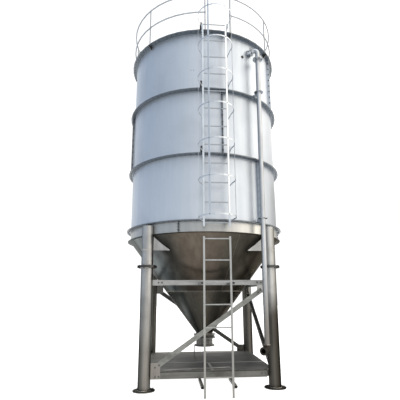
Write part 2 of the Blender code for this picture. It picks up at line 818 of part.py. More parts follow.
def build_guard_rail(material, tank):
    """Three lengths of two-bar rail, on posts that stand on the roof's rim."""
    for name, posts in RAIL_POSTS.items():
        first, last = posts[0], posts[-1]
        steps = math.ceil(abs(last - first) / STEP)
        azimuths = [first + (last - first) * i / steps for i in range(steps + 1)]
        work = bmesh.new()
        for height in (MID_RAIL_Z, TOP_RAIL_Z):
            points = [polar(RAIL_R, azimuth, height) for azimuth in azimuths]
            add_loft(work, rod_loops(points, RAIL_TUBE_R, RAIL_SIDES))
        rail = place(name, finish_mesh(name, work), material, tank)

        work = bmesh.new()
        foot = ROOF_FLANGE_Z + GAP
        inset = math.degrees(RAIL_TUBE_R / RAIL_R) * math.copysign(1.0, last - first)
        stations = [first + inset, *posts[1:-1], last - inset]
        for azimuth in stations:
            loops = []
            for height in (foot, TOP_RAIL_Z):
                centre = polar(RAIL_R, azimuth, height)
                loops.append([
                    centre + polar(RAIL_TUBE_R, azimuth + FULL_TURN * (k + 0.5) / RAIL_SIDES)
                    for k in range(RAIL_SIDES)
                ])
            add_loft(work, loops)
        posts_item = place(f"{name}_posts", finish_mesh(f"{name}_posts", work), None, tank)
        combine(rail, posts_item, "UNION")


def bend(start, direction, towards, radius, steps):
    """Stations (centre, direction) of a right-angle bend, without the first."""
    out = []
    for i in range(1, steps + 1):
        turn = math.pi / 2 * i / steps
        centre = start + direction * radius * math.sin(turn) + towards * radius * (1 - math.cos(turn))
        out.append((centre, direction * math.cos(turn) + towards * math.sin(turn)))
    return out


def pipe_axis(height):
    """Point of the fill pipe's axis, which leans a little to the right."""
    return Vector((PIPE_FOOT_X + PIPE_LEAN * height, PIPE_Y, height))


def flange_steps(first, last, radius):
    """Pairs (distance along the pipe, outer radius) of a flange that stands out from it."""
    return ((first, PIPE_R), (first, radius), (last, radius), (last, PIPE_R))


def build_riser(material, tank, bore):
    """Straight length of the fill pipe, with its top flange and two collars."""
    up = Vector((0.0, 0.0, 1.0))
    top = PIPE_FLANGE_Z - GAP / 2
    stations = [(pipe_axis(PIPE_END_Z + GAP / 2), up, PIPE_R)]
    for joint_z in (FOOT_JOINT_Z, TOP_JOINT_Z):
        low = joint_z + COLLAR_RISE
        for height, radius in flange_steps(low, low + COLLAR_T, COLLAR_R):
            stations.append((pipe_axis(height), up, radius))
    stations.append((pipe_axis(top - PIPE_FLANGE_T), up, PIPE_R))
    stations.append((pipe_axis(top - PIPE_FLANGE_T), up, PIPE_FLANGE_R))
    stations.append((pipe_axis(top), up, PIPE_FLANGE_R))
    mesh = pipe_mesh("fill_pipe", stations, Vector((1.0, 0.0, 0.0)), bore, PIPE_SIDES)
    riser = place("fill_pipe", mesh, material, tank)

    work = bmesh.new()
    for joint_z in (FOOT_JOINT_Z, TOP_JOINT_Z):
        axis = pipe_axis(joint_z)
        azimuth = math.degrees(math.atan2(axis.x, -axis.y))
        reach = math.hypot(axis.x, axis.y) - PIPE_R + PIPE_WALL / 2
        foot = joint_z + FLANGE_T + GAP * 2
        size = (COLLAR_PLATE_T, reach - COLLAR_PLATE_IN, COLLAR_RISE - FLANGE_T)
        centre = polar((reach + COLLAR_PLATE_IN) / 2, azimuth, foot + size[2] / 2)
        spin = Matrix.Rotation(math.radians(azimuth), 4, "Z")
        shape = Matrix.Translation(centre) @ spin @ Matrix.Diagonal((*size, 1.0))
        bmesh.ops.create_cube(work, size=1.0, matrix=shape)
    plates = finish_mesh("fill_pipe_plates", work, smooth=False)
    combine(riser, place("fill_pipe_plates", plates, None, tank), "UNION")


def build_top_elbow(material, tank, bore, sheet):
    """Elbow from the riser's flange into the sheet of the top ring, and its hole there."""
    up = Vector((0.0, 0.0, 1.0))
    base = PIPE_FLANGE_Z + GAP / 2
    neck = pipe_axis(base + HIGH_ELBOW_LEG)
    entry = polar(SHELL_R, ENTRY_AZ) - neck
    towards = Vector((entry.x, entry.y, 0.0)).normalized()
    turned = bend(neck, up, towards, HIGH_ELBOW_R, ELBOW_STEPS)
    stations = [
        (pipe_axis(base), up, PIPE_FLANGE_R),
        (pipe_axis(base + PIPE_FLANGE_T), up, PIPE_FLANGE_R),
        (pipe_axis(base + PIPE_FLANGE_T), up, PIPE_R),
        (neck, up, PIPE_R),
    ]
    stations += [(centre, direction, PIPE_R) for centre, direction in turned]
    inward = -polar(1.0, ENTRY_AZ)
    wall = polar(SHELL_R + 2 * GAP, ENTRY_AZ, turned[-1][0].z)
    first = PIPE_FLANGE_T - ENTRY_FLANGE_REACH
    for reach, radius in flange_steps(first - 2 * PIPE_FLANGE_T, first, ENTRY_FLANGE_R):
        stations.append((wall + towards * reach, towards, radius))
    stations.append((wall, inward, PIPE_R))
    across = up.cross(towards)
    mesh = pipe_mesh("fill_pipe_top_elbow", stations, across, bore, PIPE_SIDES)
    place("fill_pipe_top_elbow", mesh, material, tank)

    through = [wall - inward * HOLE_REACH, wall + inward * HOLE_REACH]
    loops = [circle_points(end, inward, bore, across, PIPE_SIDES) for end in through]
    hole = place("fill_hole", lofted_mesh("fill_hole", loops), None, tank)
    combine(sheet, hole, "DIFFERENCE")


def build_inlet(material, tank, bore):
    """Elbow under the riser, which ends in an open mouth with a coupling ring."""
    down = Vector((0.0, 0.0, -1.0))
    mouth_way = polar(1.0, LOW_ELBOW_AZ)
    start = pipe_axis(PIPE_END_Z - GAP / 2)
    turned = bend(start, down, mouth_way, LOW_ELBOW_R, ELBOW_STEPS)
    stations = [(start, down, INLET_R)]
    stations += [(centre, direction, INLET_R) for centre, direction in turned]
    ring_start = LOW_ELBOW_LEG - COUPLING_L
    steps = ((ring_start, INLET_R), (ring_start, COUPLING_R), (LOW_ELBOW_LEG, COUPLING_R))
    for reach, radius in steps:
        stations.append((turned[-1][0] + mouth_way * reach, mouth_way, radius))
    across = down.cross(mouth_way)
    mesh = pipe_mesh("fill_pipe_inlet", stations, across, bore, PIPE_SIDES)
    place("fill_pipe_inlet", mesh, material, tank)


def build_fill_pipe(material, tank, sheet):
    """Fill pipe: the riser, the elbow into the shell's sheet and the elbow with an open mouth."""
    bore = PIPE_R - PIPE_WALL
    build_riser(material, tank, bore)
    build_top_elbow(material, tank, bore, sheet)
    build_inlet(material, tank, bore)


def main():
    """Build every piece under the tank's own frame."""
    clear_scene()
    tank = bpy.data.objects.new("tank_axis", None)
    bpy.context.scene.collection.objects.link(tank)
    tank.location = (0.0, TANK_Y, 0.0)

    shell_steel = steel("rolled_stainless", (0.50, 0.56, 0.63), 0.34)
    hopper_steel = steel("hopper_stainless", (0.30, 0.29, 0.27), 0.30)
    leg_steel = steel("pipe_stainless", (0.48, 0.48, 0.47), 0.38)
    brace_steel = steel("brace_steel", (0.55, 0.55, 0.54), 0.42)
    beam_steel = steel("beam_steel", (0.34, 0.34, 0.33), 0.45)
    deck_steel = steel("deck_sheet", (0.20, 0.20, 0.20), 0.50)
    rail_steel = steel("rail_steel", (0.58, 0.60, 0.62), 0.40)

    sheets = build_shell(shell_steel, tank)
    build_hopper(shell_steel, hopper_steel, tank)
    build_roof(shell_steel, tank)
    build_legs(leg_steel, tank)
    build_side_members(brace_steel, beam_steel, tank)
    build_deck(deck_steel, tank)
    build_ladders(rail_steel, tank)
    build_cage(rail_steel, tank)
    build_guard_rail(rail_steel, tank)
    build_fill_pipe(leg_steel, tank, sheets["top_ring_front"])


main()
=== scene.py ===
"""Looks of the bolted stainless grain silo: finishes, fastenings, fittings, studio and camera.

Sizes are in metres.  The front, with the ladder, faces -Y.  Azimuths are in degrees from the
front, positive towards the right-hand side (+X), about the tank's own upright axis.
"""

import logging
import math
from collections.abc import Iterable, Sequence
from dataclasses import dataclass
from enum import Enum
from typing import Protocol

import bmesh
import bpy
from mathutils import Matrix, Vector


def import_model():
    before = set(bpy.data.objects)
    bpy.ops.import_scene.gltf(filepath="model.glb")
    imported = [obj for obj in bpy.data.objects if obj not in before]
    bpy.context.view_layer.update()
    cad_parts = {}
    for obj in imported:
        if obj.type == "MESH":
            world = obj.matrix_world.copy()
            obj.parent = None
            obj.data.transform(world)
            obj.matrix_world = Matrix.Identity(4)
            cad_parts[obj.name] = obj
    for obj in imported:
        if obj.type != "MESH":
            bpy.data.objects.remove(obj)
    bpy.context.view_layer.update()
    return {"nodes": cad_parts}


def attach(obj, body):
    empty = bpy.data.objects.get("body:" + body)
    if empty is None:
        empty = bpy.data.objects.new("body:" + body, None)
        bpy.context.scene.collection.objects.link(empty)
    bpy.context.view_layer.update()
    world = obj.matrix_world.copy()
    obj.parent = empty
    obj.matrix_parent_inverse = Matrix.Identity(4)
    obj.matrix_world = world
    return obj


LOG = logging.getLogger("grain_silo")

GAP = 0.0003
TANK_Y = 0.41325
SHELL_R = 1.825
FLANGE_R = 1.926
FLANGE_T = 0.0117
RIM_Z = 7.852
TOP_JOINT_Z = 6.352
LOW_JOINT_Z = 4.811
FOOT_JOINT_Z = 3.352
SKIRT_END_Z = 3.111
ROOF_FOOT_Z = 7.864
HOPPER_SEAM_Z = 1.926
TOP_SEAMS = (62.0, 242.0)
MIDDLE_SEAMS = (8.5, 98.5, 188.5, 278.5)
LOW_SEAMS = (37.0, 217.0)
SPLICES = (-21.7, 68.3, 158.3, 248.3)
LEG_HALF_SPAN = 1.327
LEG_R = 0.125
LEG_JOINT_Z = 2.430
LADDER_X = 0.095
LADDER_Y = -2.000
LADDER_HALF_W = 0.265
STILE_W = 0.038
UP = Vector((0.0, 0.0, 1.0))
DOWN = Vector((0.0, 0.0, -1.0))
# keeps the level part of a position or a direction, and drops its height
LEVEL_PART = (1.0, 1.0, 0.0)
# a face that lies this close to the true round is a flat of it, and not an edge or a plate
ROUND_MATCH = 0.93
# how far the noise frays the upper edge of a splash, in metres
FRAY = 0.5
RUBBED_EDGE = "#C9CBCB"

Socket = bpy.types.NodeSocket
Colour = tuple[float, float, float, float]


def linear(code: str) -> Colour:
    """Turn an sRGB hex colour into linear light.

    Args:
        code: Six hex digits after a hash.

    Returns:
        Red, green, blue and alpha in linear light.
    """
    out = []
    for i in (1, 3, 5):
        value = int(code[i:i + 2], 16) / 255.0
        out.append(value / 12.92 if value <= 0.04045 else ((value + 0.055) / 1.055) ** 2.4)
    return (out[0], out[1], out[2], 1.0)


def polar(radius: float, azimuth: float, height: float = 0.0) -> Vector:
    """Find a point about the tank's axis.

    Args:
        radius: Distance from the axis.
        azimuth: Degrees from the front.
        height: Height above the ground.

    Returns:
        The point, in the tank's own frame.
    """
    turn = math.radians(azimuth)
    return Vector((radius * math.sin(turn), -radius * math.cos(turn), height))


def add_node(tree: bpy.types.NodeTree, kind: str, inputs: dict, **settings: object) -> bpy.types.Node:
    """Add a node with its settings, its values and its links.

    Args:
        tree: Node tree that takes the node.
        kind: Type name of the node.
        inputs: Source sockets or plain values, by the name or number of the input.
        settings: Attributes of the node itself.

    Returns:
        The new node.
    """
    node = tree.nodes.new(kind)
    for name, value in settings.items():
        setattr(node, name, value)
    for key, value in inputs.items():
        socket = node.inputs[key]
        if isinstance(value, bpy.types.NodeSocket):
            tree.links.new(value, socket)
        else:
            socket.default_value = value
    return node


def shaded_round(tree: bpy.types.NodeTree, turn: Socket,
                 stops: Sequence[tuple[float, Colour]]) -> Socket:
    """Lay colours round the tank's upright axis, each fading into the next.

    Args:
        tree: Node tree that takes the nodes.
        turn: Azimuth in radians.
        stops: Azimuth in degrees and colour of each place, from left to right.

    Returns:
        The colour at that azimuth.
    """
    colour = stops[0][1]
    for (start, _), (end, reached) in zip(stops, stops[1:]):
        share = add_node(
            tree,
            "ShaderNodeMapRange",
            {"Value": turn, 1: math.radians(start), 2: math.radians(end)},
        ).outputs[0]
        colour = add_node(
            tree, "ShaderNodeMix", {0: share, 6: colour, 7: reached}, data_type="RGBA"
        ).outputs[2]
    return colour


def azimuth_of(tree: bpy.types.NodeTree, way: Socket) -> Socket:
    """Find which way round the tank's upright axis a direction or a place lies.

    Args:
        tree: Node tree that takes the nodes.
        way: The direction, or the place from the foot of the axis.

    Returns:
        The azimuth in radians.
    """
    parts = add_node(tree, "ShaderNodeSeparateXYZ", {0: way}).outputs
    back = add_node(tree, "ShaderNodeMath", {0: parts[1], 1: -1.0}, operation="MULTIPLY").outputs[0]
    return add_node(tree, "ShaderNodeMath", {0: parts[0], 1: back}, operation="ARCTAN2").outputs[0]


class Grain(Enum):
    """Which way the marks of rolling, drawing or rain run, as a stretch of the pattern."""

    UPRIGHT = (1.0, 1.0, 0.07)
    LEVEL = (0.09, 0.09, 1.0)
    EVEN = (1.0, 1.0, 1.0)


@dataclass(frozen=True)
class SteelFinish:
    """Bare steel whose colour, gloss and relief follow how it was rolled, drawn or cast, with painted light
    and shade where a finish asks for it.
    """

    name: str
    clean: str
    streak: str
    # dirt colour, also laid on as painted shade
    grime: str
    grain: Grain = Grain.UPRIGHT
    streak_mm: float = 80.0
    blotch_mm: float = 700.0
    streak_share: float = 0.6
    grime_share: float = 0.25
    roughness: tuple[float, float] = (0.28, 0.42)
    metallic: float = 1.0
    relief_mm: float = 0.4
    # shares of painted shade: on the sides that face the tank's axis, and on the left and right flanks of a
    # pipe
    shelter: float = 0.0
    flank_share: float = 0.0
    edge_tint: str = "#FFFFFF"
    splash: str = "#5A554E"
    splash_heights: tuple[float, float] = (0.2, 1.2)
    splash_share: float = 0.0
    edge_wear: float = 0.0

    def stain(self, tree: bpy.types.NodeTree, axis: Socket, colour: Socket) -> Socket:
        """Lay the stains that only this finish has over its colour.

        Args:
            tree: Node tree of the material.
            axis: Position from the foot of the tank's axis.
            colour: Colour so far.

        Returns:
            The stained colour.
        """
        return colour

    def facing(self, tree: bpy.types.NodeTree, axis: Socket) -> Socket:
        """Find the way that the surface faces.

        Args:
            tree: Node tree of the material.
            axis: Position from the foot of the tank's axis.

        Returns:
            The direction square to the surface.
        """
        return add_node(tree, "ShaderNodeNewGeometry", {}).outputs["Normal"]

    def rounded(self, tree: bpy.types.NodeTree, true: Socket) -> Socket:
        """Take the flats out of a surface that is really round.

        Args:
            tree: Node tree of the material.
            true: Direction in which the round surface faces here.

        Returns:
            That direction on the round surface, and the face's own on edges and plates.
        """
        flat = add_node(tree, "ShaderNodeNewGeometry", {}).outputs["Normal"]
        unit = add_node(tree, "ShaderNodeVectorMath", {0: true}, operation="NORMALIZE").outputs[0]
        along = add_node(
            tree, "ShaderNodeVectorMath", {0: flat, 1: unit}, operation="DOT_PRODUCT"
        ).outputs["Value"]
        side = add_node(tree, "ShaderNodeMath", {0: along}, operation="SIGN").outputs[0]
        turned = add_node(
            tree, "ShaderNodeVectorMath", {0: unit, "Scale": side}, operation="SCALE"
        ).outputs[0]
        near = add_node(tree, "ShaderNodeMath", {0: along}, operation="ABSOLUTE").outputs[0]
        share = add_node(
            tree, "ShaderNodeMath", {0: near, 1: ROUND_MATCH}, operation="GREATER_THAN"
        ).outputs[0]
        return add_node(
            tree, "ShaderNodeMix", {0: share, 4: flat, 5: turned}, data_type="VECTOR"
        ).outputs[1]

    def shaded(self, tree: bpy.types.NodeTree, axis: Socket, normal: Socket, colour: Socket) -> Socket:
        """Paint shade on the left and right flanks of a pipe.

        Args:
            tree: Node tree of the material.
            axis: Position from the foot of the tank's axis.
            normal: Way that the surface faces.
            colour: Colour so far.

        Returns:
            The darkened colour.
        """
        if not self.flank_share:
            return colour
        across = add_node(tree, "ShaderNodeSeparateXYZ", {0: normal}).outputs[0]
        near = add_node(tree, "ShaderNodeMath", {0: across}, operation="ABSOLUTE").outputs[0]
        share = add_node(
            tree,
            "ShaderNodeMapRange",
            {"Value": near, 1: 0.35, 2: 1.0, 3: 0.0, 4: self.flank_share},
        ).outputs[0]
        return add_node(
            tree, "ShaderNodeMix", {0: share, 6: colour, 7: linear(self.grime)}, data_type="RGBA"
        ).outputs[2]

    def sheltered(self, tree: bpy.types.NodeTree, axis: Socket, normal: Socket, colour: Socket) -> Socket:
        """Paint shade on the sides that face the tank's axis, which lie in shade under the tank.

        Args:
            tree: Node tree of the material.
            axis: Position from the foot of the tank's axis.
            normal: Way that the surface faces.
            colour: Colour so far.

        Returns:
            The darkened colour.
        """
        level = add_node(
            tree, "ShaderNodeVectorMath", {0: axis, 1: LEVEL_PART}, operation="MULTIPLY"
        )
        outward = add_node(tree, "ShaderNodeVectorMath", {0: level.outputs[0]}, operation="NORMALIZE")
        facing = add_node(
            tree,
            "ShaderNodeVectorMath",
            {0: normal, 1: outward.outputs[0]},
            operation="DOT_PRODUCT",
        )
        share = add_node(
            tree,
            "ShaderNodeMapRange",
            {"Value": facing.outputs["Value"], 1: 0.1, 2: -0.6, 3: 0.0, 4: self.shelter},
            interpolation_type="SMOOTHSTEP",
        )
        mixed = add_node(
            tree,
            "ShaderNodeMix",
            {0: share.outputs[0], 6: colour, 7: linear(self.grime)},
            data_type="RGBA",
        )
        return mixed.outputs[2]

    def splashed(self, tree: bpy.types.NodeTree, axis: Socket, noise: Socket, colour: Socket) -> Socket:
        """Stain the lowest stretch with what rain throws up from the ground.

        Args:
            tree: Node tree of the material.
            axis: Position from the foot of the tank's axis.
            noise: Pattern that breaks up the stain's upper edge.
            colour: Colour so far.

        Returns:
            The stained colour.
        """
        height = add_node(tree, "ShaderNodeSeparateXYZ", {0: axis}).outputs[2]
        ragged = add_node(
            tree, "ShaderNodeMath", {0: noise, 1: FRAY, 2: height}, operation="MULTIPLY_ADD"
        )
        # the noise is 0.5 on average, so it lifts both heights by half of the fray
        full, clear = (edge + FRAY / 2 for edge in self.splash_heights)
        share = add_node(
            tree,
            "ShaderNodeMapRange",
            {"Value": ragged.outputs[0], 1: clear, 2: full, 3: 0.0, 4: self.splash_share},
            interpolation_type="SMOOTHSTEP",
        )
        mixed = add_node(
            tree,
            "ShaderNodeMix",
            {0: share.outputs[0], 6: colour, 7: linear(self.splash)},
            data_type="RGBA",
        )
        return mixed.outputs[2]

    def worn(self, tree: bpy.types.NodeTree, colour: Socket) -> Socket:
        """Brighten the edges that hands, boots and tools rub.

        Args:
            tree: Node tree of the material.
            colour: Colour so far.

        Returns:
            The colour with bright edges.
        """
        rounded = add_node(tree, "ShaderNodeBevel", {"Radius": 0.006}, samples=4)
        normal = add_node(tree, "ShaderNodeNewGeometry", {}).outputs["Normal"]
        facing = add_node(
            tree,
            "ShaderNodeVectorMath",
            {0: rounded.outputs[0], 1: normal},
            operation="DOT_PRODUCT",
        )
        share = add_node(
            tree,
            "ShaderNodeMapRange",
            {"Value": facing.outputs["Value"], 1: 0.995, 2: 0.85, 3: 0.0, 4: self.edge_wear},
        )
        mixed = add_node(
            tree,
            "ShaderNodeMix",
            {0: share.outputs[0], 6: colour, 7: linear(RUBBED_EDGE)},
            data_type="RGBA",
        )
        return mixed.outputs[2]

    def build(self) -> bpy.types.Material:
        """Make the node material.

        Returns:
            The material.
        """
        material = bpy.data.materials.new(self.name)
        material.use_nodes = True
        tree = material.node_tree
        tree.nodes.clear()
        place = add_node(tree, "ShaderNodeTexCoord", {}).outputs["Object"]
        axis = add_node(
            tree, "ShaderNodeVectorMath", {0: place, 1: (0.0, TANK_Y, 0.0)}, operation="SUBTRACT"
        ).outputs[0]
        drawn = add_node(
            tree, "ShaderNodeVectorMath", {0: axis, 1: self.grain.value}, operation="MULTIPLY"
        ).outputs[0]
        streaks = add_node(
            tree,
            "ShaderNodeTexNoise",
            {"Vector": drawn, "Scale": 1000.0 / self.streak_mm, "Detail": 5.0, "Roughness": 0.62},
        ).outputs[0]
        blotches = add_node(
            tree,
            "ShaderNodeTexNoise",
            {"Vector": axis, "Scale": 1000.0 / self.blotch_mm, "Detail": 3.0, "Roughness": 0.5},
        ).outputs[0]
        streaked = add_node(
            tree,
            "ShaderNodeMapRange",
            {"Value": streaks, 1: 0.38, 2: 0.68, 3: 0.0, 4: self.streak_share},
            interpolation_type="SMOOTHSTEP",
        ).outputs[0]
        soiled = add_node(
            tree,
            "ShaderNodeMapRange",
            {"Value": blotches, 1: 0.45, 2: 0.75, 3: 0.0, 4: self.grime_share},
            interpolation_type="SMOOTHSTEP",
        ).outputs[0]
        colour = add_node(
            tree,
            "ShaderNodeMix",
            {0: streaked, 6: linear(self.clean), 7: linear(self.streak)},
            data_type="RGBA",
        ).outputs[2]
        colour = add_node(
            tree, "ShaderNodeMix", {0: soiled, 6: colour, 7: linear(self.grime)}, data_type="RGBA"
        ).outputs[2]
        normal = self.facing(tree, axis)
        colour = self.stain(tree, axis, colour)
        if self.splash_share:
            colour = self.splashed(tree, axis, streaks, colour)
        colour = self.shaded(tree, axis, normal, colour)
        if self.shelter:
            colour = self.sheltered(tree, axis, normal, colour)
        if self.edge_wear:
            colour = self.worn(tree, colour)
        gloss = add_node(
            tree,
            "ShaderNodeMapRange",
            {"Value": streaks, 1: 0.3, 2: 0.75, 3: self.roughness[0], 4: self.roughness[1]},
        ).outputs[0]
        # the true grain is finer than 1 mm, so it is drawn about 12 mm coarse to show at all
        fine = add_node(
            tree, "ShaderNodeTexNoise", {"Vector": drawn, "Scale": 85.0, "Detail": 2.0}
        ).outputs[0]
        uneven = add_node(
            tree, "ShaderNodeMath", {0: blotches, 1: 12.0, 2: fine}, operation="MULTIPLY_ADD"
        ).outputs[0]
        relief = add_node(
            tree,
            "ShaderNodeBump",
            {
                "Height": uneven,
                "Distance": self.relief_mm / 1000.0,
                "Strength": 0.5,
                "Normal": normal,
            },
        ).outputs[0]
        shader = add_node(
            tree,
            "ShaderNodeBsdfPrincipled",
            {
                "Base Color": colour,
                "Metallic": self.metallic,
                "Specular Tint": linear(self.edge_tint),
                "Roughness": gloss,
                "Normal": relief,
            },
        )
        add_node(tree, "ShaderNodeOutputMaterial", {0: shader.outputs[0]})
        return material


@dataclass(frozen=True)
class ShellSheet(SteelFinish):
    """Cold rolled sheet of the rings, with dark flanges that are partly painted shade, dust runs under each
    joint, and painted light and shade on the seam lips and on the right of the lower ring.
    """

    # the flanges: partly dirt and seals, partly painted shade of their undersides seen from below
    flange: str = "#6A7076"
    # painted shade on the seam lips at the front, and painted light on those at the side
    lip: str = "#62676C"
    lit_lip: str = "#CDD2D7"
    lit_side: tuple[float, float] = (18.0, 28.0)
    run_length: float = 0.42
    run_share: float = 0.5
    lip_reach: tuple[float, float] = (0.004, 0.010)
    lip_share: float = 0.92
    joint_reach: tuple[float, float] = (0.014, 0.018)
    joint_share: float = 0.95
    # painted shade on the right of the shell's lower ring, and a painted highlight on the right of the skirt
    dusty_side: tuple[float, float, float, float] = (52.0, 80.0, 95.0, 140.0)
    dusty: str = "#6E7072"
    dusty_share: float = 0.85

    def facing(self, tree: bpy.types.NodeTree, axis: Socket) -> Socket:
        """Find the way that the rolled sheet faces, straight out from the tank's axis.

        Args:
            tree: Node tree of the material.
            axis: Position from the foot of the tank's axis.

        Returns:
            The direction square to the surface.
        """
        out = add_node(tree, "ShaderNodeVectorMath", {0: axis, 1: LEVEL_PART}, operation="MULTIPLY")
        return self.rounded(tree, out.outputs[0])

    def stain(self, tree: bpy.types.NodeTree, axis: Socket, colour: Socket) -> Socket:
        """Draw dust runs down from each joint, paint light and shade on the seam lips and on the right of
        the lower ring, and darken the flanges, partly as painted shade.

        Args:
            tree: Node tree of the material.
            axis: Position from the foot of the tank's axis.
            colour: Colour so far.

        Returns:
            The stained colour.
        """
        height = add_node(tree, "ShaderNodeSeparateXYZ", {0: axis}).outputs[2]
        narrow = add_node(
            tree, "ShaderNodeVectorMath", {0: axis, 1: (1.0, 1.0, 0.03)}, operation="MULTIPLY"
        ).outputs[0]
        runs = add_node(
            tree, "ShaderNodeTexNoise", {"Vector": narrow, "Scale": 14.0, "Detail": 3.0}
        ).outputs[0]
        for joint_z in (RIM_Z, TOP_JOINT_Z, LOW_JOINT_Z):
            below = add_node(
                tree,
                "ShaderNodeMapRange",
                {"Value": height, 1: joint_z - self.run_length, 2: joint_z, 3: 0.0, 4: self.run_share},
                interpolation_type="SMOOTHSTEP",
            ).outputs[0]
            under = add_node(
                tree, "ShaderNodeMath", {0: height, 1: joint_z}, operation="LESS_THAN"
            ).outputs[0]
            kept = add_node(tree, "ShaderNodeMath", {0: below, 1: under}, operation="MULTIPLY").outputs[0]
            share = add_node(tree, "ShaderNodeMath", {0: kept, 1: runs}, operation="MULTIPLY").outputs[0]
            colour = add_node(
                tree, "ShaderNodeMix", {0: share, 6: colour, 7: linear(self.grime)}, data_type="RGBA"
            ).outputs[2]
        level = add_node(
            tree, "ShaderNodeVectorMath", {0: axis, 1: LEVEL_PART}, operation="MULTIPLY"
        ).outputs[0]
        radius = add_node(tree, "ShaderNodeVectorMath", {0: level}, operation="LENGTH").outputs["Value"]
        turn = azimuth_of(tree, axis)
        # the side tone: painted shade on the shell's lower ring, a painted highlight on the skirt
        start, full, late, end = (math.radians(angle) for angle in self.dusty_side)
        rising = add_node(
            tree,
            "ShaderNodeMapRange",
            {"Value": turn, 1: start, 2: full, 3: 0.0, 4: self.dusty_share},
        ).outputs[0]
        fading = add_node(
            tree, "ShaderNodeMapRange", {"Value": turn, 1: late, 2: end, 3: 1.0, 4: 0.0}
        ).outputs[0]
        aside = add_node(tree, "ShaderNodeMath", {0: rising, 1: fading}, operation="MULTIPLY").outputs[0]
        beneath = add_node(
            tree, "ShaderNodeMapRange", {"Value": height, 1: LOW_JOINT_Z, 2: LOW_JOINT_Z - 0.5}
        ).outputs[0]
        dusty = add_node(tree, "ShaderNodeMath", {0: aside, 1: beneath}, operation="MULTIPLY").outputs[0]
        colour = add_node(
            tree, "ShaderNodeMix", {0: dusty, 6: colour, 7: linear(self.dusty)}, data_type="RGBA"
        ).outputs[2]
        start, full = (SHELL_R + reach for reach in self.lip_reach)
        proud = add_node(
            tree,
            "ShaderNodeMapRange",
            {"Value": radius, 1: start, 2: full, 3: 0.0, 4: self.lip_share},
        ).outputs[0]
        # painted shade on the seam lips at the front, and painted light on those at the side
        shade_end, light_start = (math.radians(angle) for angle in self.lit_side)
        lit = add_node(
            tree, "ShaderNodeMapRange", {"Value": turn, 1: shade_end, 2: light_start}
        ).outputs[0]
        lip = add_node(
            tree,
            "ShaderNodeMix",
            {0: lit, 6: linear(self.lip), 7: linear(self.lit_lip)},
            data_type="RGBA",
        ).outputs[2]
        colour = add_node(
            tree, "ShaderNodeMix", {0: proud, 6: colour, 7: lip}, data_type="RGBA"
        ).outputs[2]
        # the flanges darkened: partly dirt, partly painted shade of their undersides
        full, end = self.joint_reach
        for joint_z in (RIM_Z, TOP_JOINT_Z, LOW_JOINT_Z, FOOT_JOINT_Z):
            off = add_node(
                tree, "ShaderNodeMath", {0: height, 1: joint_z}, operation="SUBTRACT"
            ).outputs[0]
            near = add_node(tree, "ShaderNodeMath", {0: off}, operation="ABSOLUTE").outputs[0]
            share = add_node(
                tree, "ShaderNodeMapRange", {"Value": near, 1: full, 2: end, 3: self.joint_share, 4: 0.0}
            ).outputs[0]
            colour = add_node(
                tree, "ShaderNodeMix", {0: share, 6: colour, 7: linear(self.flange)}, data_type="RGBA"
            ).outputs[2]
        return colour


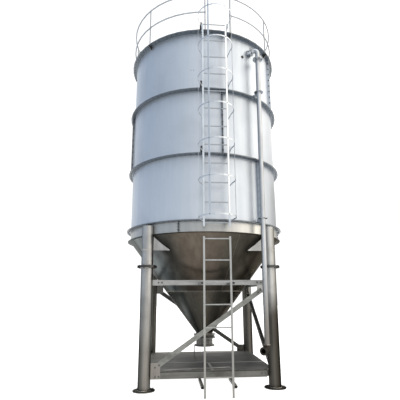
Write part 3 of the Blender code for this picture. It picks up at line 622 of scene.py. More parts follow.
@dataclass(frozen=True)
class HopperSheet(SteelFinish):
    """Sheet bent to a cone, toned round and down its two courses with painted reflections of brown ground
    and a dark deck, and painted shade.
    """

    # painted reflection and painted shade round each course, by azimuth
    upper: tuple[tuple[float, str], ...] = (
        (-180.0, "#8A8A8A"), (-90.0, "#A0A6A8"), (-62.0, "#8C9193"), (-48.0, "#575B5C"),
        (-32.0, "#484743"), (-20.0, "#585149"), (-6.0, "#655D54"), (3.0, "#605850"), (14.0, "#49463F"),
        (30.0, "#4A4741"), (45.0, "#3A3834"), (60.0, "#6A6863"), (100.0, "#92918D"), (180.0, "#8A8A8A"),
    )
    lower: tuple[tuple[float, str], ...] = (
        (-180.0, "#5C5C5B"), (-75.0, "#595B5B"), (-52.0, "#464847"), (-38.0, "#2D2F2E"),
        (-20.0, "#6A675F"), (0.0, "#706B63"), (10.0, "#57544D"), (28.0, "#32302C"), (45.0, "#292826"),
        (60.0, "#575552"), (100.0, "#62605D"), (180.0, "#5C5C5B"),
    )
    # painted shade towards the foot of the upper course, and painted light towards the foot of the lower one
    upper_fade: tuple[float, float, float, float] = (2.20, 2.50, 0.6, 1.0)
    lower_fade: tuple[float, float, float, float] = (1.12, 1.85, 3.4, 1.0)
    seam_z: float = HOPPER_SEAM_Z
    slope: float = 0.7587
    ground: str = "#8A8882"
    ground_reach: tuple[float, float] = (0.006, 0.022)
    ground_share: float = 0.35

    def facing(self, tree: bpy.types.NodeTree, axis: Socket) -> Socket:
        """Find the way that the cone faces, out from the tank's axis and down.

        Args:
            tree: Node tree of the material.
            axis: Position from the foot of the tank's axis.

        Returns:
            The direction square to the surface.
        """
        level = add_node(
            tree, "ShaderNodeVectorMath", {0: axis, 1: LEVEL_PART}, operation="MULTIPLY"
        ).outputs[0]
        out = add_node(tree, "ShaderNodeVectorMath", {0: level}, operation="NORMALIZE").outputs[0]
        tipped = add_node(
            tree, "ShaderNodeVectorMath", {0: out, 1: (0.0, 0.0, -self.slope)}, operation="ADD"
        ).outputs[0]
        return self.rounded(tree, tipped)

    def stain(self, tree: bpy.types.NodeTree, axis: Socket, colour: Socket) -> Socket:
        """Paint reflection and shade round the two courses of the cone and down them, and grind the seam
        between them.

        Args:
            tree: Node tree of the material.
            axis: Position from the foot of the tank's axis.
            colour: Colour so far.

        Returns:
            The toned colour.
        """
        height = add_node(tree, "ShaderNodeSeparateXYZ", {0: axis}).outputs[2]
        turn = azimuth_of(tree, axis)
        courses = [
            shaded_round(tree, turn, [(azimuth, linear(code)) for azimuth, code in stops])
            for stops in (self.lower, self.upper)
        ]
        above = add_node(
            tree,
            "ShaderNodeMapRange",
            {"Value": height, 1: self.seam_z - 0.002, 2: self.seam_z + 0.002},
        ).outputs[0]
        tone = add_node(
            tree, "ShaderNodeMix", {0: above, 6: courses[0], 7: courses[1]}, data_type="RGBA"
        ).outputs[2]
        fades = [
            add_node(
                tree, "ShaderNodeMapRange", {"Value": height, 1: low, 2: high, 3: at_low, 4: at_high}
            ).outputs[0]
            for low, high, at_low, at_high in (self.lower_fade, self.upper_fade)
        ]
        level = add_node(tree, "ShaderNodeMix", {0: above, 2: fades[0], 3: fades[1]}).outputs[0]
        shaded = add_node(
            tree, "ShaderNodeVectorMath", {0: tone, "Scale": level}, operation="SCALE"
        ).outputs[0]
        toned = add_node(
            tree,
            "ShaderNodeMix",
            {0: 1.0, 6: colour, 7: shaded},
            data_type="RGBA",
            blend_type="MULTIPLY",
        ).outputs[2]
        off = add_node(
            tree, "ShaderNodeMath", {0: height, 1: self.seam_z}, operation="SUBTRACT"
        ).outputs[0]
        near = add_node(tree, "ShaderNodeMath", {0: off}, operation="ABSOLUTE").outputs[0]
        full, end = self.ground_reach
        share = add_node(
            tree, "ShaderNodeMapRange", {"Value": near, 1: full, 2: end, 3: self.ground_share, 4: 0.0}
        ).outputs[0]
        return add_node(
            tree, "ShaderNodeMix", {0: share, 6: toned, 7: linear(self.ground)}, data_type="RGBA"
        ).outputs[2]


@dataclass(frozen=True)
class LegPipe(SteelFinish):
    """Drawn pipe of a leg, with dark flanges at its joint, and painted light and shade round it."""

    flange: str = "#3E3E3D"
    joint_z: float = LEG_JOINT_Z
    joint_reach: float = 0.030
    joint_share: float = 0.9
    # painted light and shade round each leg, low down and high up
    tone_heights: tuple[float, float] = (0.9, 2.9)
    low_tones: tuple[tuple[float, str], ...] = (
        (-180.0, "#8A8A8A"), (-50.0, "#6A6A69"), (-22.0, "#8C8B88"), (-4.0, "#B4B1AC"), (18.0, "#B8B4AF"),
        (38.0, "#A3A29F"), (60.0, "#8C8B88"), (180.0, "#8A8A8A"),
    )
    high_tones: tuple[tuple[float, str], ...] = (
        (-180.0, "#BFBFBF"), (-60.0, "#C4C5C8"), (-42.0, "#E2E4E7"), (-20.0, "#DADBDD"), (0.0, "#CECED0"),
        (22.0, "#E4E3E2"), (40.0, "#FFFFFF"), (62.0, "#F6F5F3"), (100.0, "#BCBBB9"), (180.0, "#BFBFBF"),
    )

    def facing(self, tree: bpy.types.NodeTree, axis: Socket) -> Socket:
        """Find the way that the pipe faces, straight out from the leg's own axis.

        Args:
            tree: Node tree of the material.
            axis: Position from the foot of the tank's axis.

        Returns:
            The direction square to the surface.
        """
        folded = add_node(tree, "ShaderNodeVectorMath", {0: axis}, operation="ABSOLUTE").outputs[0]
        corner = add_node(
            tree, "ShaderNodeVectorMath", {0: axis, 1: folded}, operation="DIVIDE"
        ).outputs[0]
        foot = add_node(
            tree,
            "ShaderNodeVectorMath",
            {0: corner, 1: (LEG_HALF_SPAN, LEG_HALF_SPAN, 0.0)},
            operation="MULTIPLY",
        ).outputs[0]
        off = add_node(tree, "ShaderNodeVectorMath", {0: axis, 1: foot}, operation="SUBTRACT").outputs[0]
        out = add_node(
            tree, "ShaderNodeVectorMath", {0: off, 1: LEVEL_PART}, operation="MULTIPLY"
        ).outputs[0]
        return self.rounded(tree, out)

    def stain(self, tree: bpy.types.NodeTree, axis: Socket, colour: Socket) -> Socket:
        """Darken the flanges of the joint.

        Args:
            tree: Node tree of the material.
            axis: Position from the foot of the tank's axis.
            colour: Colour so far.

        Returns:
            The stained colour.
        """
        folded = add_node(tree, "ShaderNodeVectorMath", {0: axis}, operation="ABSOLUTE").outputs[0]
        off = add_node(
            tree,
            "ShaderNodeVectorMath",
            {0: folded, 1: (LEG_HALF_SPAN, LEG_HALF_SPAN, self.joint_z)},
            operation="SUBTRACT",
        ).outputs[0]
        level = add_node(
            tree, "ShaderNodeVectorMath", {0: off, 1: LEVEL_PART}, operation="MULTIPLY"
        ).outputs[0]
        radius = add_node(tree, "ShaderNodeVectorMath", {0: level}, operation="LENGTH").outputs["Value"]
        proud = add_node(
            tree, "ShaderNodeMapRange", {"Value": radius, 1: LEG_R + 0.004, 2: LEG_R + 0.012}
        ).outputs[0]
        drop = add_node(tree, "ShaderNodeSeparateXYZ", {0: off}).outputs[2]
        near = add_node(tree, "ShaderNodeMath", {0: drop}, operation="ABSOLUTE").outputs[0]
        inside = add_node(
            tree,
            "ShaderNodeMapRange",
            {
                "Value": near,
                1: self.joint_reach,
                2: self.joint_reach + 0.004,
                3: self.joint_share,
                4: 0.0,
            },
        ).outputs[0]
        share = add_node(tree, "ShaderNodeMath", {0: proud, 1: inside}, operation="MULTIPLY").outputs[0]
        return add_node(
            tree, "ShaderNodeMix", {0: share, 6: colour, 7: linear(self.flange)}, data_type="RGBA"
        ).outputs[2]

    def shaded(self, tree: bpy.types.NodeTree, axis: Socket, normal: Socket, colour: Socket) -> Socket:
        """Paint light and shade round the pipe's own axis, by the way each face turns.

        Args:
            tree: Node tree of the material.
            axis: Position from the foot of the tank's axis.
            normal: Way that the surface faces.
            colour: Colour so far.

        Returns:
            The shaded colour.
        """
        turn = azimuth_of(tree, normal)
        tones = [
            shaded_round(tree, turn, [(azimuth, linear(code)) for azimuth, code in stops])
            for stops in (self.low_tones, self.high_tones)
        ]
        height = add_node(tree, "ShaderNodeSeparateXYZ", {0: axis}).outputs[2]
        low, high = self.tone_heights
        share = add_node(tree, "ShaderNodeMapRange", {"Value": height, 1: low, 2: high}).outputs[0]
        tone = add_node(
            tree, "ShaderNodeMix", {0: share, 6: tones[0], 7: tones[1]}, data_type="RGBA"
        ).outputs[2]
        return add_node(
            tree,
            "ShaderNodeMix",
            {0: 1.0, 6: colour, 7: tone},
            data_type="RGBA",
            blend_type="MULTIPLY",
        ).outputs[2]


@dataclass(frozen=True)
class CageBar(SteelFinish):
    """Flat bar of the cage, paler and bluer along its front as a painted reflection of the sky."""

    rubbed: str = "#C2C8CF"
    rubbed_reach: tuple[float, float] = (0.40, 0.66)
    rubbed_share: float = 0.85

    def stain(self, tree: bpy.types.NodeTree, axis: Socket, colour: Socket) -> Socket:
        """Paint the sky's reflection on the front of the cage.

        Args:
            tree: Node tree of the material.
            axis: Position from the foot of the tank's axis.
            colour: Colour so far.

        Returns:
            The brightened colour.
        """
        depth = add_node(tree, "ShaderNodeSeparateXYZ", {0: axis}).outputs[1]
        start, full = (LADDER_Y - reach for reach in self.rubbed_reach)
        share = add_node(
            tree, "ShaderNodeMapRange", {"Value": depth, 1: start, 2: full, 3: 0.0, 4: self.rubbed_share}
        ).outputs[0]
        return add_node(
            tree, "ShaderNodeMix", {0: share, 6: colour, 7: linear(self.rubbed)}, data_type="RGBA"
        ).outputs[2]


@dataclass(frozen=True)
class LadderBar(SteelFinish):
    """Bar of a ladder high up, with trodden rungs and painted shade on the stand-offs behind the stiles."""

    rung: str = "#7E8286"
    stand_off: str = "#4C4F52"
    rung_share: float = 0.7
    stand_off_share: float = 0.95
    inner_half: float = 0.238

    def stain(self, tree: bpy.types.NodeTree, axis: Socket, colour: Socket) -> Socket:
        """Dull the rungs and paint shade on the stand-offs.

        Args:
            tree: Node tree of the material.
            axis: Position from the foot of the tank's axis.
            colour: Colour so far.

        Returns:
            The dulled colour.
        """
        parts = add_node(tree, "ShaderNodeSeparateXYZ", {0: axis}).outputs
        across = add_node(
            tree, "ShaderNodeMath", {0: parts[0], 1: LADDER_X}, operation="SUBTRACT"
        ).outputs[0]
        off = add_node(tree, "ShaderNodeMath", {0: across}, operation="ABSOLUTE").outputs[0]
        between = add_node(
            tree,
            "ShaderNodeMapRange",
            {
                "Value": off,
                1: self.inner_half,
                2: self.inner_half + 0.004,
                3: self.rung_share,
                4: 0.0,
            },
        ).outputs[0]
        colour = add_node(
            tree, "ShaderNodeMix", {0: between, 6: colour, 7: linear(self.rung)}, data_type="RGBA"
        ).outputs[2]
        behind = add_node(
            tree,
            "ShaderNodeMapRange",
            {
                "Value": parts[1],
                1: LADDER_Y + 0.020,
                2: LADDER_Y + 0.028,
                3: 0.0,
                4: self.stand_off_share,
            },
        ).outputs[0]
        return add_node(
            tree, "ShaderNodeMix", {0: behind, 6: colour, 7: linear(self.stand_off)}, data_type="RGBA"
        ).outputs[2]


@dataclass(frozen=True)
class DeckSheet(SteelFinish):
    """Thin sheet of the deck, darkened as painted shade under the cone, and paler in patches on the left and
    along its front and back.
    """

    trodden: str = "#83827E"

    def stain(self, tree: bpy.types.NodeTree, axis: Socket, colour: Socket) -> Socket:
        """Pale the stretches out from under the cone, leaving the painted shade beneath it.

        Args:
            tree: Node tree of the material.
            axis: Position from the foot of the tank's axis.
            colour: Colour so far.

        Returns:
            The paled colour.
        """
        parts = add_node(tree, "ShaderNodeSeparateXYZ", {0: axis}).outputs
        patches = add_node(
            tree, "ShaderNodeTexNoise", {"Vector": axis, "Scale": 2.4, "Detail": 3.0}
        ).outputs[0]
        # paler stretches out from under the cone; the rest keeps the painted shade
        for run, start, full, most in (
            (parts[0], -0.15, -1.0, 1.5),
            (parts[1], 0.4, 1.2, 1.0),
            (parts[1], -0.85, -1.1, 0.7),
        ):
            share = add_node(
                tree, "ShaderNodeMapRange", {"Value": run, 1: start, 2: full, 3: 0.0, 4: most}
            ).outputs[0]
            patchy = add_node(
                tree, "ShaderNodeMath", {0: share, 1: patches}, operation="MULTIPLY", use_clamp=True
            ).outputs[0]
            colour = add_node(
                tree, "ShaderNodeMix", {0: patchy, 6: colour, 7: linear(self.trodden)}, data_type="RGBA"
            ).outputs[2]
        return colour


@dataclass(frozen=True)
class BeamSheet(SteelFinish):
    """Folded channel with a painted shadow line under the deck's edge."""

    line: str = "#2B2A28"
    line_z: float = 0.328
    line_share: float = 0.9

    def stain(self, tree: bpy.types.NodeTree, axis: Socket, colour: Socket) -> Socket:
        """Paint the shadow line along the upper edge, under the deck's edge.

        Args:
            tree: Node tree of the material.
            axis: Position from the foot of the tank's axis.
            colour: Colour so far.

        Returns:
            The stained colour.
        """
        height = add_node(tree, "ShaderNodeSeparateXYZ", {0: axis}).outputs[2]
        share = add_node(
            tree,
            "ShaderNodeMapRange",
            {"Value": height, 1: self.line_z, 2: self.line_z + 0.006, 3: 0.0, 4: self.line_share},
        ).outputs[0]
        return add_node(
            tree, "ShaderNodeMix", {0: share, 6: colour, 7: linear(self.line)}, data_type="RGBA"
        ).outputs[2]


@dataclass(frozen=True)
class MattFinish:
    """Something that isn't metal: rubber of a seal or the paint of the studio floor."""

    name: str
    colour: str
    shade: str
    patch_mm: float
    roughness: float
    relief_mm: float
    glow: float = 0.0

    def build(self) -> bpy.types.Material:
        """Make the node material.

        Returns:
            The material.
        """
        material = bpy.data.materials.new(self.name)
        material.use_nodes = True
        tree = material.node_tree
        tree.nodes.clear()
        place = add_node(tree, "ShaderNodeTexCoord", {}).outputs["Object"]
        patches = add_node(
            tree,
            "ShaderNodeTexNoise",
            {"Vector": place, "Scale": 1000.0 / self.patch_mm, "Detail": 4.0},
        ).outputs[0]
        colour = add_node(
            tree,
            "ShaderNodeMix",
            {0: patches, 6: linear(self.colour), 7: linear(self.shade)},
            data_type="RGBA",
        ).outputs[2]
        relief = add_node(
            tree, "ShaderNodeBump", {"Height": patches, "Distance": self.relief_mm / 1000.0}
        ).outputs[0]
        shader = add_node(
            tree,
            "ShaderNodeBsdfPrincipled",
            {
                "Base Color": colour,
                "Roughness": self.roughness,
                "Normal": relief,
                "Emission Color": linear("#FFFFFF"),
                "Emission Strength": self.glow,
            },
        )
        add_node(tree, "ShaderNodeOutputMaterial", {0: shader.outputs[0]})
        return material


# stainless 304 sheet, cold rolled: blue-grey, partly a painted reflection of the sky, with faint upright
# rain streaks
SHELL_SHEET = ShellSheet(
    name="stainless_sheet_cold_rolled",
    clean="#BCC3CC",
    streak="#AFB8C3",
    grime="#959BA2",
    streak_mm=170.0,
    blotch_mm=900.0,
    streak_share=0.4,
    grime_share=0.25,
    roughness=(0.40, 0.50),
    relief_mm=0.35,
)
# the same sheet low down, where dust dulls it: a flatter, warmer grey, with a painted highlight on its right
# side
SKIRT_SHEET = ShellSheet(
    name="stainless_sheet_dusty",
    clean="#A9ABAB",
    streak="#9A9DA0",
    grime="#8A8A88",
    streak_mm=120.0,
    blotch_mm=500.0,
    roughness=(0.34, 0.46),
    relief_mm=0.35,
    dusty_side=(8.0, 36.0, 95.0, 150.0),
    dusty="#DEDEDA",
    dusty_share=0.7,
)
# stainless sheet bent to a cone: its tones are painted reflections of brown ground and a dark deck, and
# painted shade, and come from its class
HOPPER_SHEET = HopperSheet(
    name="stainless_sheet_bent_to_cone",
    clean="#FFFFFF",
    streak="#D6D4D0",
    grime="#B4B0A8",
    streak_mm=140.0,
    blotch_mm=600.0,
    roughness=(0.30, 0.42),
    relief_mm=0.4,
    edge_tint="#7A7874",
)
# turned stainless ring: even dark grey with dust in its corners
TURNED_RING = SteelFinish(
    name="stainless_ring_turned",
    clean="#666663",
    streak="#454542",
    grime="#2A2A28",
    grain=Grain.LEVEL,
    streak_mm=20.0,
    blotch_mm=120.0,
    roughness=(0.34, 0.5),
    edge_wear=0.25,
)
# stainless pipe, drawn and pickled: satin grey with a thin veil of earth low down, painted light and shade
# round it, and painted shade on the side facing the tank's axis
LEG_PIPE = LegPipe(
    name="stainless_pipe_drawn",
    clean="#C4C6C7",
    streak="#ACACA9",
    grime="#5A5852",
    streak_mm=60.0,
    blotch_mm=500.0,
    grime_share=0.25,
    roughness=(0.30, 0.46),
    relief_mm=0.35,
    shelter=0.85,
    edge_tint="#8A8986",
    splash="#98928A",
    splash_heights=(0.2, 1.4),
    splash_share=0.5,
)
# the same pipe, dark brown to above half height with dried earth and a painted reflection of brown ground;
# painted light and shade round it, and painted shade on the side facing the tank's axis
LEG_PIPE_MUDDIED = LegPipe(
    name="stainless_pipe_muddied_and_shaded",
    clean="#C8C9C9",
    streak="#B1B2B1",
    grime="#5A5853",
    streak_mm=60.0,
    blotch_mm=400.0,
    grime_share=0.3,
    roughness=(0.36, 0.54),
    metallic=0.9,
    relief_mm=0.6,
    shelter=0.85,
    edge_tint="#4A4844",
    splash="#4B4842",
    splash_heights=(1.35, 1.95),
    splash_share=0.95,
    low_tones=(
        (-180.0, "#A0A0A0"), (-60.0, "#B4B3B0"), (-35.0, "#DEDDDA"), (-14.0, "#F6F5F2"), (2.0, "#D2D0CC"),
        (18.0, "#AEACA7"), (34.0, "#85837E"), (60.0, "#6A6864"), (180.0, "#A0A0A0"),
    ),
    high_tones=(
        (-180.0, "#C0C0C0"), (-60.0, "#C6C6C6"), (-35.0, "#CCCCCC"), (-18.0, "#E6E6E5"), (4.0, "#FAFAF9"),
        (28.0, "#CCCBC9"), (55.0, "#A6A5A3"), (180.0, "#C0C0C0"),
    ),
)
# drawn stainless pipe of the fill line: bluer and brighter than the legs, browned towards its foot, with
# painted shade on its flanks
FILL_PIPE = SteelFinish(
    name="stainless_tube_polished",
    clean="#BFC3C8",
    streak="#A9ADB2",
    grime="#62666A",
    streak_mm=50.0,
    blotch_mm=450.0,
    grime_share=0.2,
    roughness=(0.30, 0.44),
    relief_mm=0.25,
    flank_share=0.3,
    edge_tint="#A8A8A6",
    splash="#635D55",
    splash_heights=(0.9, 3.0),
    splash_share=0.88,
)
# bent inlet, oily from hoses: earth sticks to it in a dark brown skin
INLET_SKIN = SteelFinish(
    name="stainless_bend_oily",
    clean="#35312C",
    streak="#2A2723",
    grime="#1D1B18",
    grain=Grain.EVEN,
    streak_mm=30.0,
    blotch_mm=90.0,
    grime_share=0.5,
    roughness=(0.4, 0.6),
    metallic=0.7,
    relief_mm=0.6,
    edge_tint="#4A4640",
    edge_wear=0.1,
)
# hot rolled flat bar: matt light grey with rubbed edges, and painted shade on the sides facing the tank's
# axis
BRACE_BAR = SteelFinish(
    name="steel_bar_hot_rolled",
    clean="#949595",
    streak="#7C7D7C",
    grime="#454542",
    grain=Grain.LEVEL,
    streak_mm=30.0,
    blotch_mm=300.0,
    roughness=(0.38, 0.55),
    metallic=0.9,
    shelter=0.85,
    edge_wear=0.3,
)
# rolled angle bar at a slant: darker and duller than the flat bars, with painted shade on the sides facing
# the tank's axis
DIAGONAL_BAR = SteelFinish(
    name="steel_angle_hot_rolled",
    clean="#868784",
    streak="#6C6D6A",
    grime="#3B3B38",
    grain=Grain.LEVEL,
    streak_mm=30.0,
    blotch_mm=260.0,
    grime_share=0.5,
    roughness=(0.42, 0.6),
    metallic=0.85,
    shelter=0.85,
    edge_wear=0.25,
)
# folded channel: mill finish under a film of dust, with a painted shadow under the deck's edge and painted
# shade on the sides facing the tank's axis
BEAM_CHANNEL = BeamSheet(
    name="steel_channel_folded",
    clean="#6B6B67",
    streak="#585854",
    grime="#373632",
    grain=Grain.LEVEL,
    streak_mm=35.0,
    blotch_mm=350.0,
    grime_share=0.5,
    roughness=(0.42, 0.6),
    metallic=0.8,
    shelter=0.6,
    edge_wear=0.25,
)
# thin sheet walked on and never washed: dark grey, darkened further as painted shade under the cone, dust
# drawn out sideways
DECK_SHEET = DeckSheet(
    name="steel_sheet_walked_on",
    clean="#434545",
    streak="#303232",
    grime="#565450",
    grain=Grain.LEVEL,
    streak_mm=220.0,
    blotch_mm=420.0,
    grime_share=0.6,
    roughness=(0.45, 0.65),
    metallic=0.6,
    relief_mm=1.5,
    edge_tint="#707070",
    edge_wear=0.3,
)
# cover strips rubbed by boots: paler and browner than the sheet they lie on
DECK_STRIP = SteelFinish(
    name="steel_strip_rubbed",
    clean="#7E7D79",
    streak="#62615E",
    grime="#4A4844",
    grain=Grain.LEVEL,
    streak_mm=120.0,
    blotch_mm=260.0,
    grime_share=0.5,
    roughness=(0.42, 0.6),
    metallic=0.7,
    relief_mm=0.6,
    edge_wear=0.4,
)
# satin tube of the guard rail, rained on: light blue-grey
RAIL_TUBE = SteelFinish(
    name="stainless_tube_satin",
    clean="#9DA2A8",
    streak="#858A8F",
    grime="#6C6F72",
    streak_mm=25.0,
    blotch_mm=200.0,
    roughness=(0.34, 0.5),
    metallic=0.9,
)
# flat bar of the cage: light grey, with a painted sky reflection a shade bluer along its front
CAGE_BAR = CageBar(
    name="stainless_bar_satin",
    clean="#B9BEC4",
    streak="#9EA3A9",
    grime="#7C8084",
    streak_mm=25.0,
    blotch_mm=200.0,
    roughness=(0.30, 0.44),
    metallic=0.9,
)
# bar of the upper ladder: nearly white stiles, rungs rubbed dull by boots
LADDER_BAR = LadderBar(
    name="stainless_bar_bright",
    clean="#C2CAD3",
    streak="#ABB3BC",
    grime="#858B91",
    streak_mm=25.0,
    blotch_mm=200.0,
    roughness=(0.30, 0.44),
    metallic=0.9,
)
# square tube of the lower ladder, gripped and trodden: middle grey, brownish low down
LADDER_TUBE = SteelFinish(
    name="stainless_tube_handled",
    clean="#A2A5A6",
    streak="#8B8E8F",
    grime="#6F7172",
    streak_mm=25.0,
    blotch_mm=200.0,
    roughness=(0.34, 0.5),
    metallic=0.9,
    splash="#7D7A73",
    splash_heights=(0.3, 2.8),
    splash_share=0.7,
)
# folded bracket behind the ladder: nearly black, as painted shade
STAND_OFF_STEEL = SteelFinish(
    name="steel_bracket_painted_shade",
    clean="#45474A",
    streak="#36383A",
    grime="#2A2A29",
    streak_mm=20.0,
    blotch_mm=60.0,
    roughness=(0.45, 0.6),
    metallic=0.8,
    edge_tint="#6A6A6A",
    edge_wear=0.1,
)
# forged and zinc plated fasteners: dull grey that reads as a dark dot from afar
BOLT_STEEL = SteelFinish(
    name="bolt_steel_zinc_plated",
    clean="#5C5E60",
    streak="#434548",
    grime="#2F2B27",
    grain=Grain.EVEN,
    streak_mm=8.0,
    blotch_mm=120.0,
    grime_share=0.7,
    roughness=(0.35, 0.55),
    metallic=0.9,
    relief_mm=0.1,
)
# weld metal as it cooled: bright ripples with straw-coloured heat tint beside them
WELD_METAL = SteelFinish(
    name="weld_metal_as_laid",
    clean="#B7B3AB",
    streak="#8E8474",
    grime="#6A5D4A",
    grain=Grain.EVEN,
    streak_mm=14.0,
    blotch_mm=160.0,
    grime_share=0.5,
    roughness=(0.3, 0.5),
    relief_mm=0.6,
)
# weld metal wire brushed and weathered: brown-grey ripples that hardly stand out
WELD_DULLED = SteelFinish(
    name="weld_metal_brushed",
    clean="#6E6A62",
    streak="#57534C",
    grime="#3C3935",
    grain=Grain.EVEN,
    streak_mm=14.0,
    blotch_mm=160.0,
    grime_share=0.5,
    roughness=(0.34, 0.5),
    relief_mm=0.6,
)
# small bent rod, never cleaned: rusty grey-brown
ROD_STEEL = SteelFinish(
    name="steel_rod_weathered",
    clean="#6B6862",
    streak="#55514B",
    grime="#3F3830",
    streak_mm=15.0,
    blotch_mm=70.0,
    grime_share=0.5,
    roughness=(0.5, 0.7),
    metallic=0.7,
    relief_mm=0.4,
)
# extruded EPDM rubber: dusty black
SEAL_RUBBER = MattFinish("rubber_seal_extruded", "#2A2A29", "#42413F", 25.0, 0.75, 0.3)
# floor paint, rolled on and lit from below: matt white that keeps its shadows faint
FLOOR_PAINT = MattFinish("floor_paint_rolled", "#A6A6A5", "#9E9E9D", 900.0, 0.85, 0.2, glow=1.0)


class Finishes:
    """All finishes, each built once."""

    def __init__(self) -> None:
        """Build every material."""
        self.shell = SHELL_SHEET.build()
        self.skirt = SKIRT_SHEET.build()
        self.hopper = HOPPER_SHEET.build()
        self.ring = TURNED_RING.build()
        self.leg = LEG_PIPE.build()
        self.muddied = LEG_PIPE_MUDDIED.build()
        self.pipe = FILL_PIPE.build()
        self.inlet = INLET_SKIN.build()
        self.brace = BRACE_BAR.build()
        self.diagonal = DIAGONAL_BAR.build()
        self.beam = BEAM_CHANNEL.build()
        self.deck = DECK_SHEET.build()
        self.strip = DECK_STRIP.build()
        self.rail = RAIL_TUBE.build()
        self.cage = CAGE_BAR.build()
        self.upper_ladder = LADDER_BAR.build()
        self.ladder = LADDER_TUBE.build()
        self.bolt = BOLT_STEEL.build()
        self.stand_off = STAND_OFF_STEEL.build()
        self.weld = WELD_METAL.build()
        self.dull_weld = WELD_DULLED.build()
        self.rod = ROD_STEEL.build()
        self.rubber = SEAL_RUBBER.build()
        self.floor = FLOOR_PAINT.build()


@dataclass(frozen=True)
class BoltSize:
    """Sizes of a hexagon head or nut and of the washer under it."""

    across: float
    head: float
    washer_r: float
    washer_t: float


class Bolt(Enum):
    """Bolts used on the silo."""

    M8 = BoltSize(0.013, 0.0055, 0.0100, 0.0016)
    M12 = BoltSize(0.019, 0.0075, 0.0140, 0.0025)
    M16 = BoltSize(0.024, 0.0100, 0.0185, 0.0030)


class Workpiece:
    """Mesh of one piece, put together from turned, swept and cut shapes."""

    def __init__(self, name: str) -> None:
        """Start an empty piece.

        Args:
            name: Name of the piece.
        """
        self.name = name
        self.work = bmesh.new()

    def turned(self, centre: Vector, axis: Vector, outline: Sequence[tuple[float, float]],
               sides: int, closed: bool = False) -> None:
        """Spin an outline about an axis.

        Args:
            centre: Point of the axis from which heights count.
            axis: Direction of the axis.
            outline: Points (radius, height); a radius of 0 closes an end.
            sides: Steps of the full turn.
            closed: Whether the outline joins its own start, as a ring's does.
        """
        along = axis.normalized()
        first = along.orthogonal().normalized()
        second = along.cross(first)
        rows = []
        for radius, height in outline:
            middle = centre + along * height
            if radius == 0.0:
                rows.append([self.work.verts.new(middle)])
                continue
            turns = [math.tau * i / sides for i in range(sides)]
            rows.append([
                self.work.verts.new(middle + (first * math.cos(t) + second * math.sin(t)) * radius)
                for t in turns
            ])
        pairs = list(zip(rows, rows[1:]))
        if closed:
            pairs.append((rows[-1], rows[0]))
        for row, following in pairs:
            for i in range(sides):
                j = (i + 1) % sides
                corners = []
                for loop, k in ((row, i), (row, j), (following, j), (following, i)):
                    point = loop[k] if len(loop) > 1 else loop[0]
                    if point not in corners:
                        corners.append(point)
                self.work.faces.new(corners)

    def swept(self, points: Sequence[Vector], radii: Sequence[float], sides: int) -> None:
        """Sweep a round bar or a bead along points.

        Args:
            points: Centreline.
            radii: Radius at each point.
            sides: Sides of the section.
        """
        rows = []
        first = (points[1] - points[0]).orthogonal().normalized()
        for i, point in enumerate(points):
            along = (points[min(i + 1, len(points) - 1)] - points[max(i - 1, 0)]).normalized()
            first = (first - along * first.dot(along)).normalized()
            second = along.cross(first)
            turns = [math.tau * (k + 0.5) / sides for k in range(sides)]
            rows.append([
                self.work.verts.new(point + (first * math.cos(t) + second * math.sin(t)) * radii[i])
                for t in turns
            ])
        for row, following in zip(rows, rows[1:]):
            for i in range(sides):
                j = (i + 1) % sides
                self.work.faces.new((row[i], row[j], following[j], following[i]))
        self.work.faces.new(rows[0])
        self.work.faces.new(rows[-1])

    def bead(self, points: Sequence[Vector], radius: float) -> None:
        """Lay a weld bead with its ripples along points.

        Args:
            points: Centreline of the bead.
            radius: Half of its width.
        """
        radii = [radius * (1.0 + 0.22 * math.sin(i * 2.1)) for i in range(len(points))]
        self.swept(points, radii, 6)

    def block(self, centre: Vector, size: Sequence[float], spin: Matrix | None = None,
              edge: float = 0.0) -> None:
        """Add a plate or a bar with broken edges.

        Args:
            centre: Middle of the block.
            size: Its three sizes.
            spin: Turn of the block.
            edge: Width of the broken edges.
        """
        turn = spin if spin is not None else Matrix.Identity(4)
        shape = Matrix.Translation(centre) @ turn @ Matrix.Diagonal((*size, 1.0))
        made = bmesh.ops.create_cube(self.work, size=1.0, matrix=shape)
        if edge:
            edges = {e for v in made["verts"] for e in v.link_edges}
            bmesh.ops.bevel(
                self.work, geom=list(edges), offset=edge, segments=1, affect="EDGES", profile=0.5
            )

    def bolt(self, seat: Vector, axis: Vector, size: Bolt) -> None:
        """Add a washer and a hexagon head or nut.

        Args:
            seat: Point of the surface that the washer lies on.
            axis: Direction away from the surface.
            size: Size of the bolt.
        """
        spec = size.value
        corner = spec.across / math.sqrt(3.0)
        top = spec.washer_t + spec.head
        washer = ((0.0, 0.0), (spec.washer_r, 0.0), (spec.washer_r, spec.washer_t), (0.0, spec.washer_t))
        self.turned(seat, axis, washer, 12)
        head = (
            (0.0, spec.washer_t),
            (corner, spec.washer_t),
            (corner, top - spec.head * 0.2),
            (corner * 0.84, top),
            (0.0, top),
        )
        self.turned(seat, axis, head, 6)

    def finish(self, material: bpy.types.Material, slot: str, smooth: bool = False) -> bpy.types.Object:
        """Set the piece in place behind the origin, dress it and fix it to the silo.

        Args:
            material: Finish of the piece.
            slot: Slot of the record that the finish belongs to; not used.
            smooth: Whether round faces shade smoothly.

        Returns:
            The piece.
        """
        bmesh.ops.recalc_face_normals(self.work, faces=self.work.faces)
        mesh = bpy.data.meshes.new(self.name)
        self.work.to_mesh(mesh)
        self.work.free()
        mesh.transform(Matrix.Translation((0.0, TANK_Y, 0.0)))
        if smooth:
            mesh.shade_smooth()
            mesh.set_sharp_from_angle(angle=math.radians(40.0))
        mesh.materials.append(material)
        item = bpy.data.objects.new(self.name, mesh)
        bpy.context.scene.collection.objects.link(item)
        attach(item, "root")
        LOG.info("%s: %d faces", self.name, len(mesh.polygons))
        return item


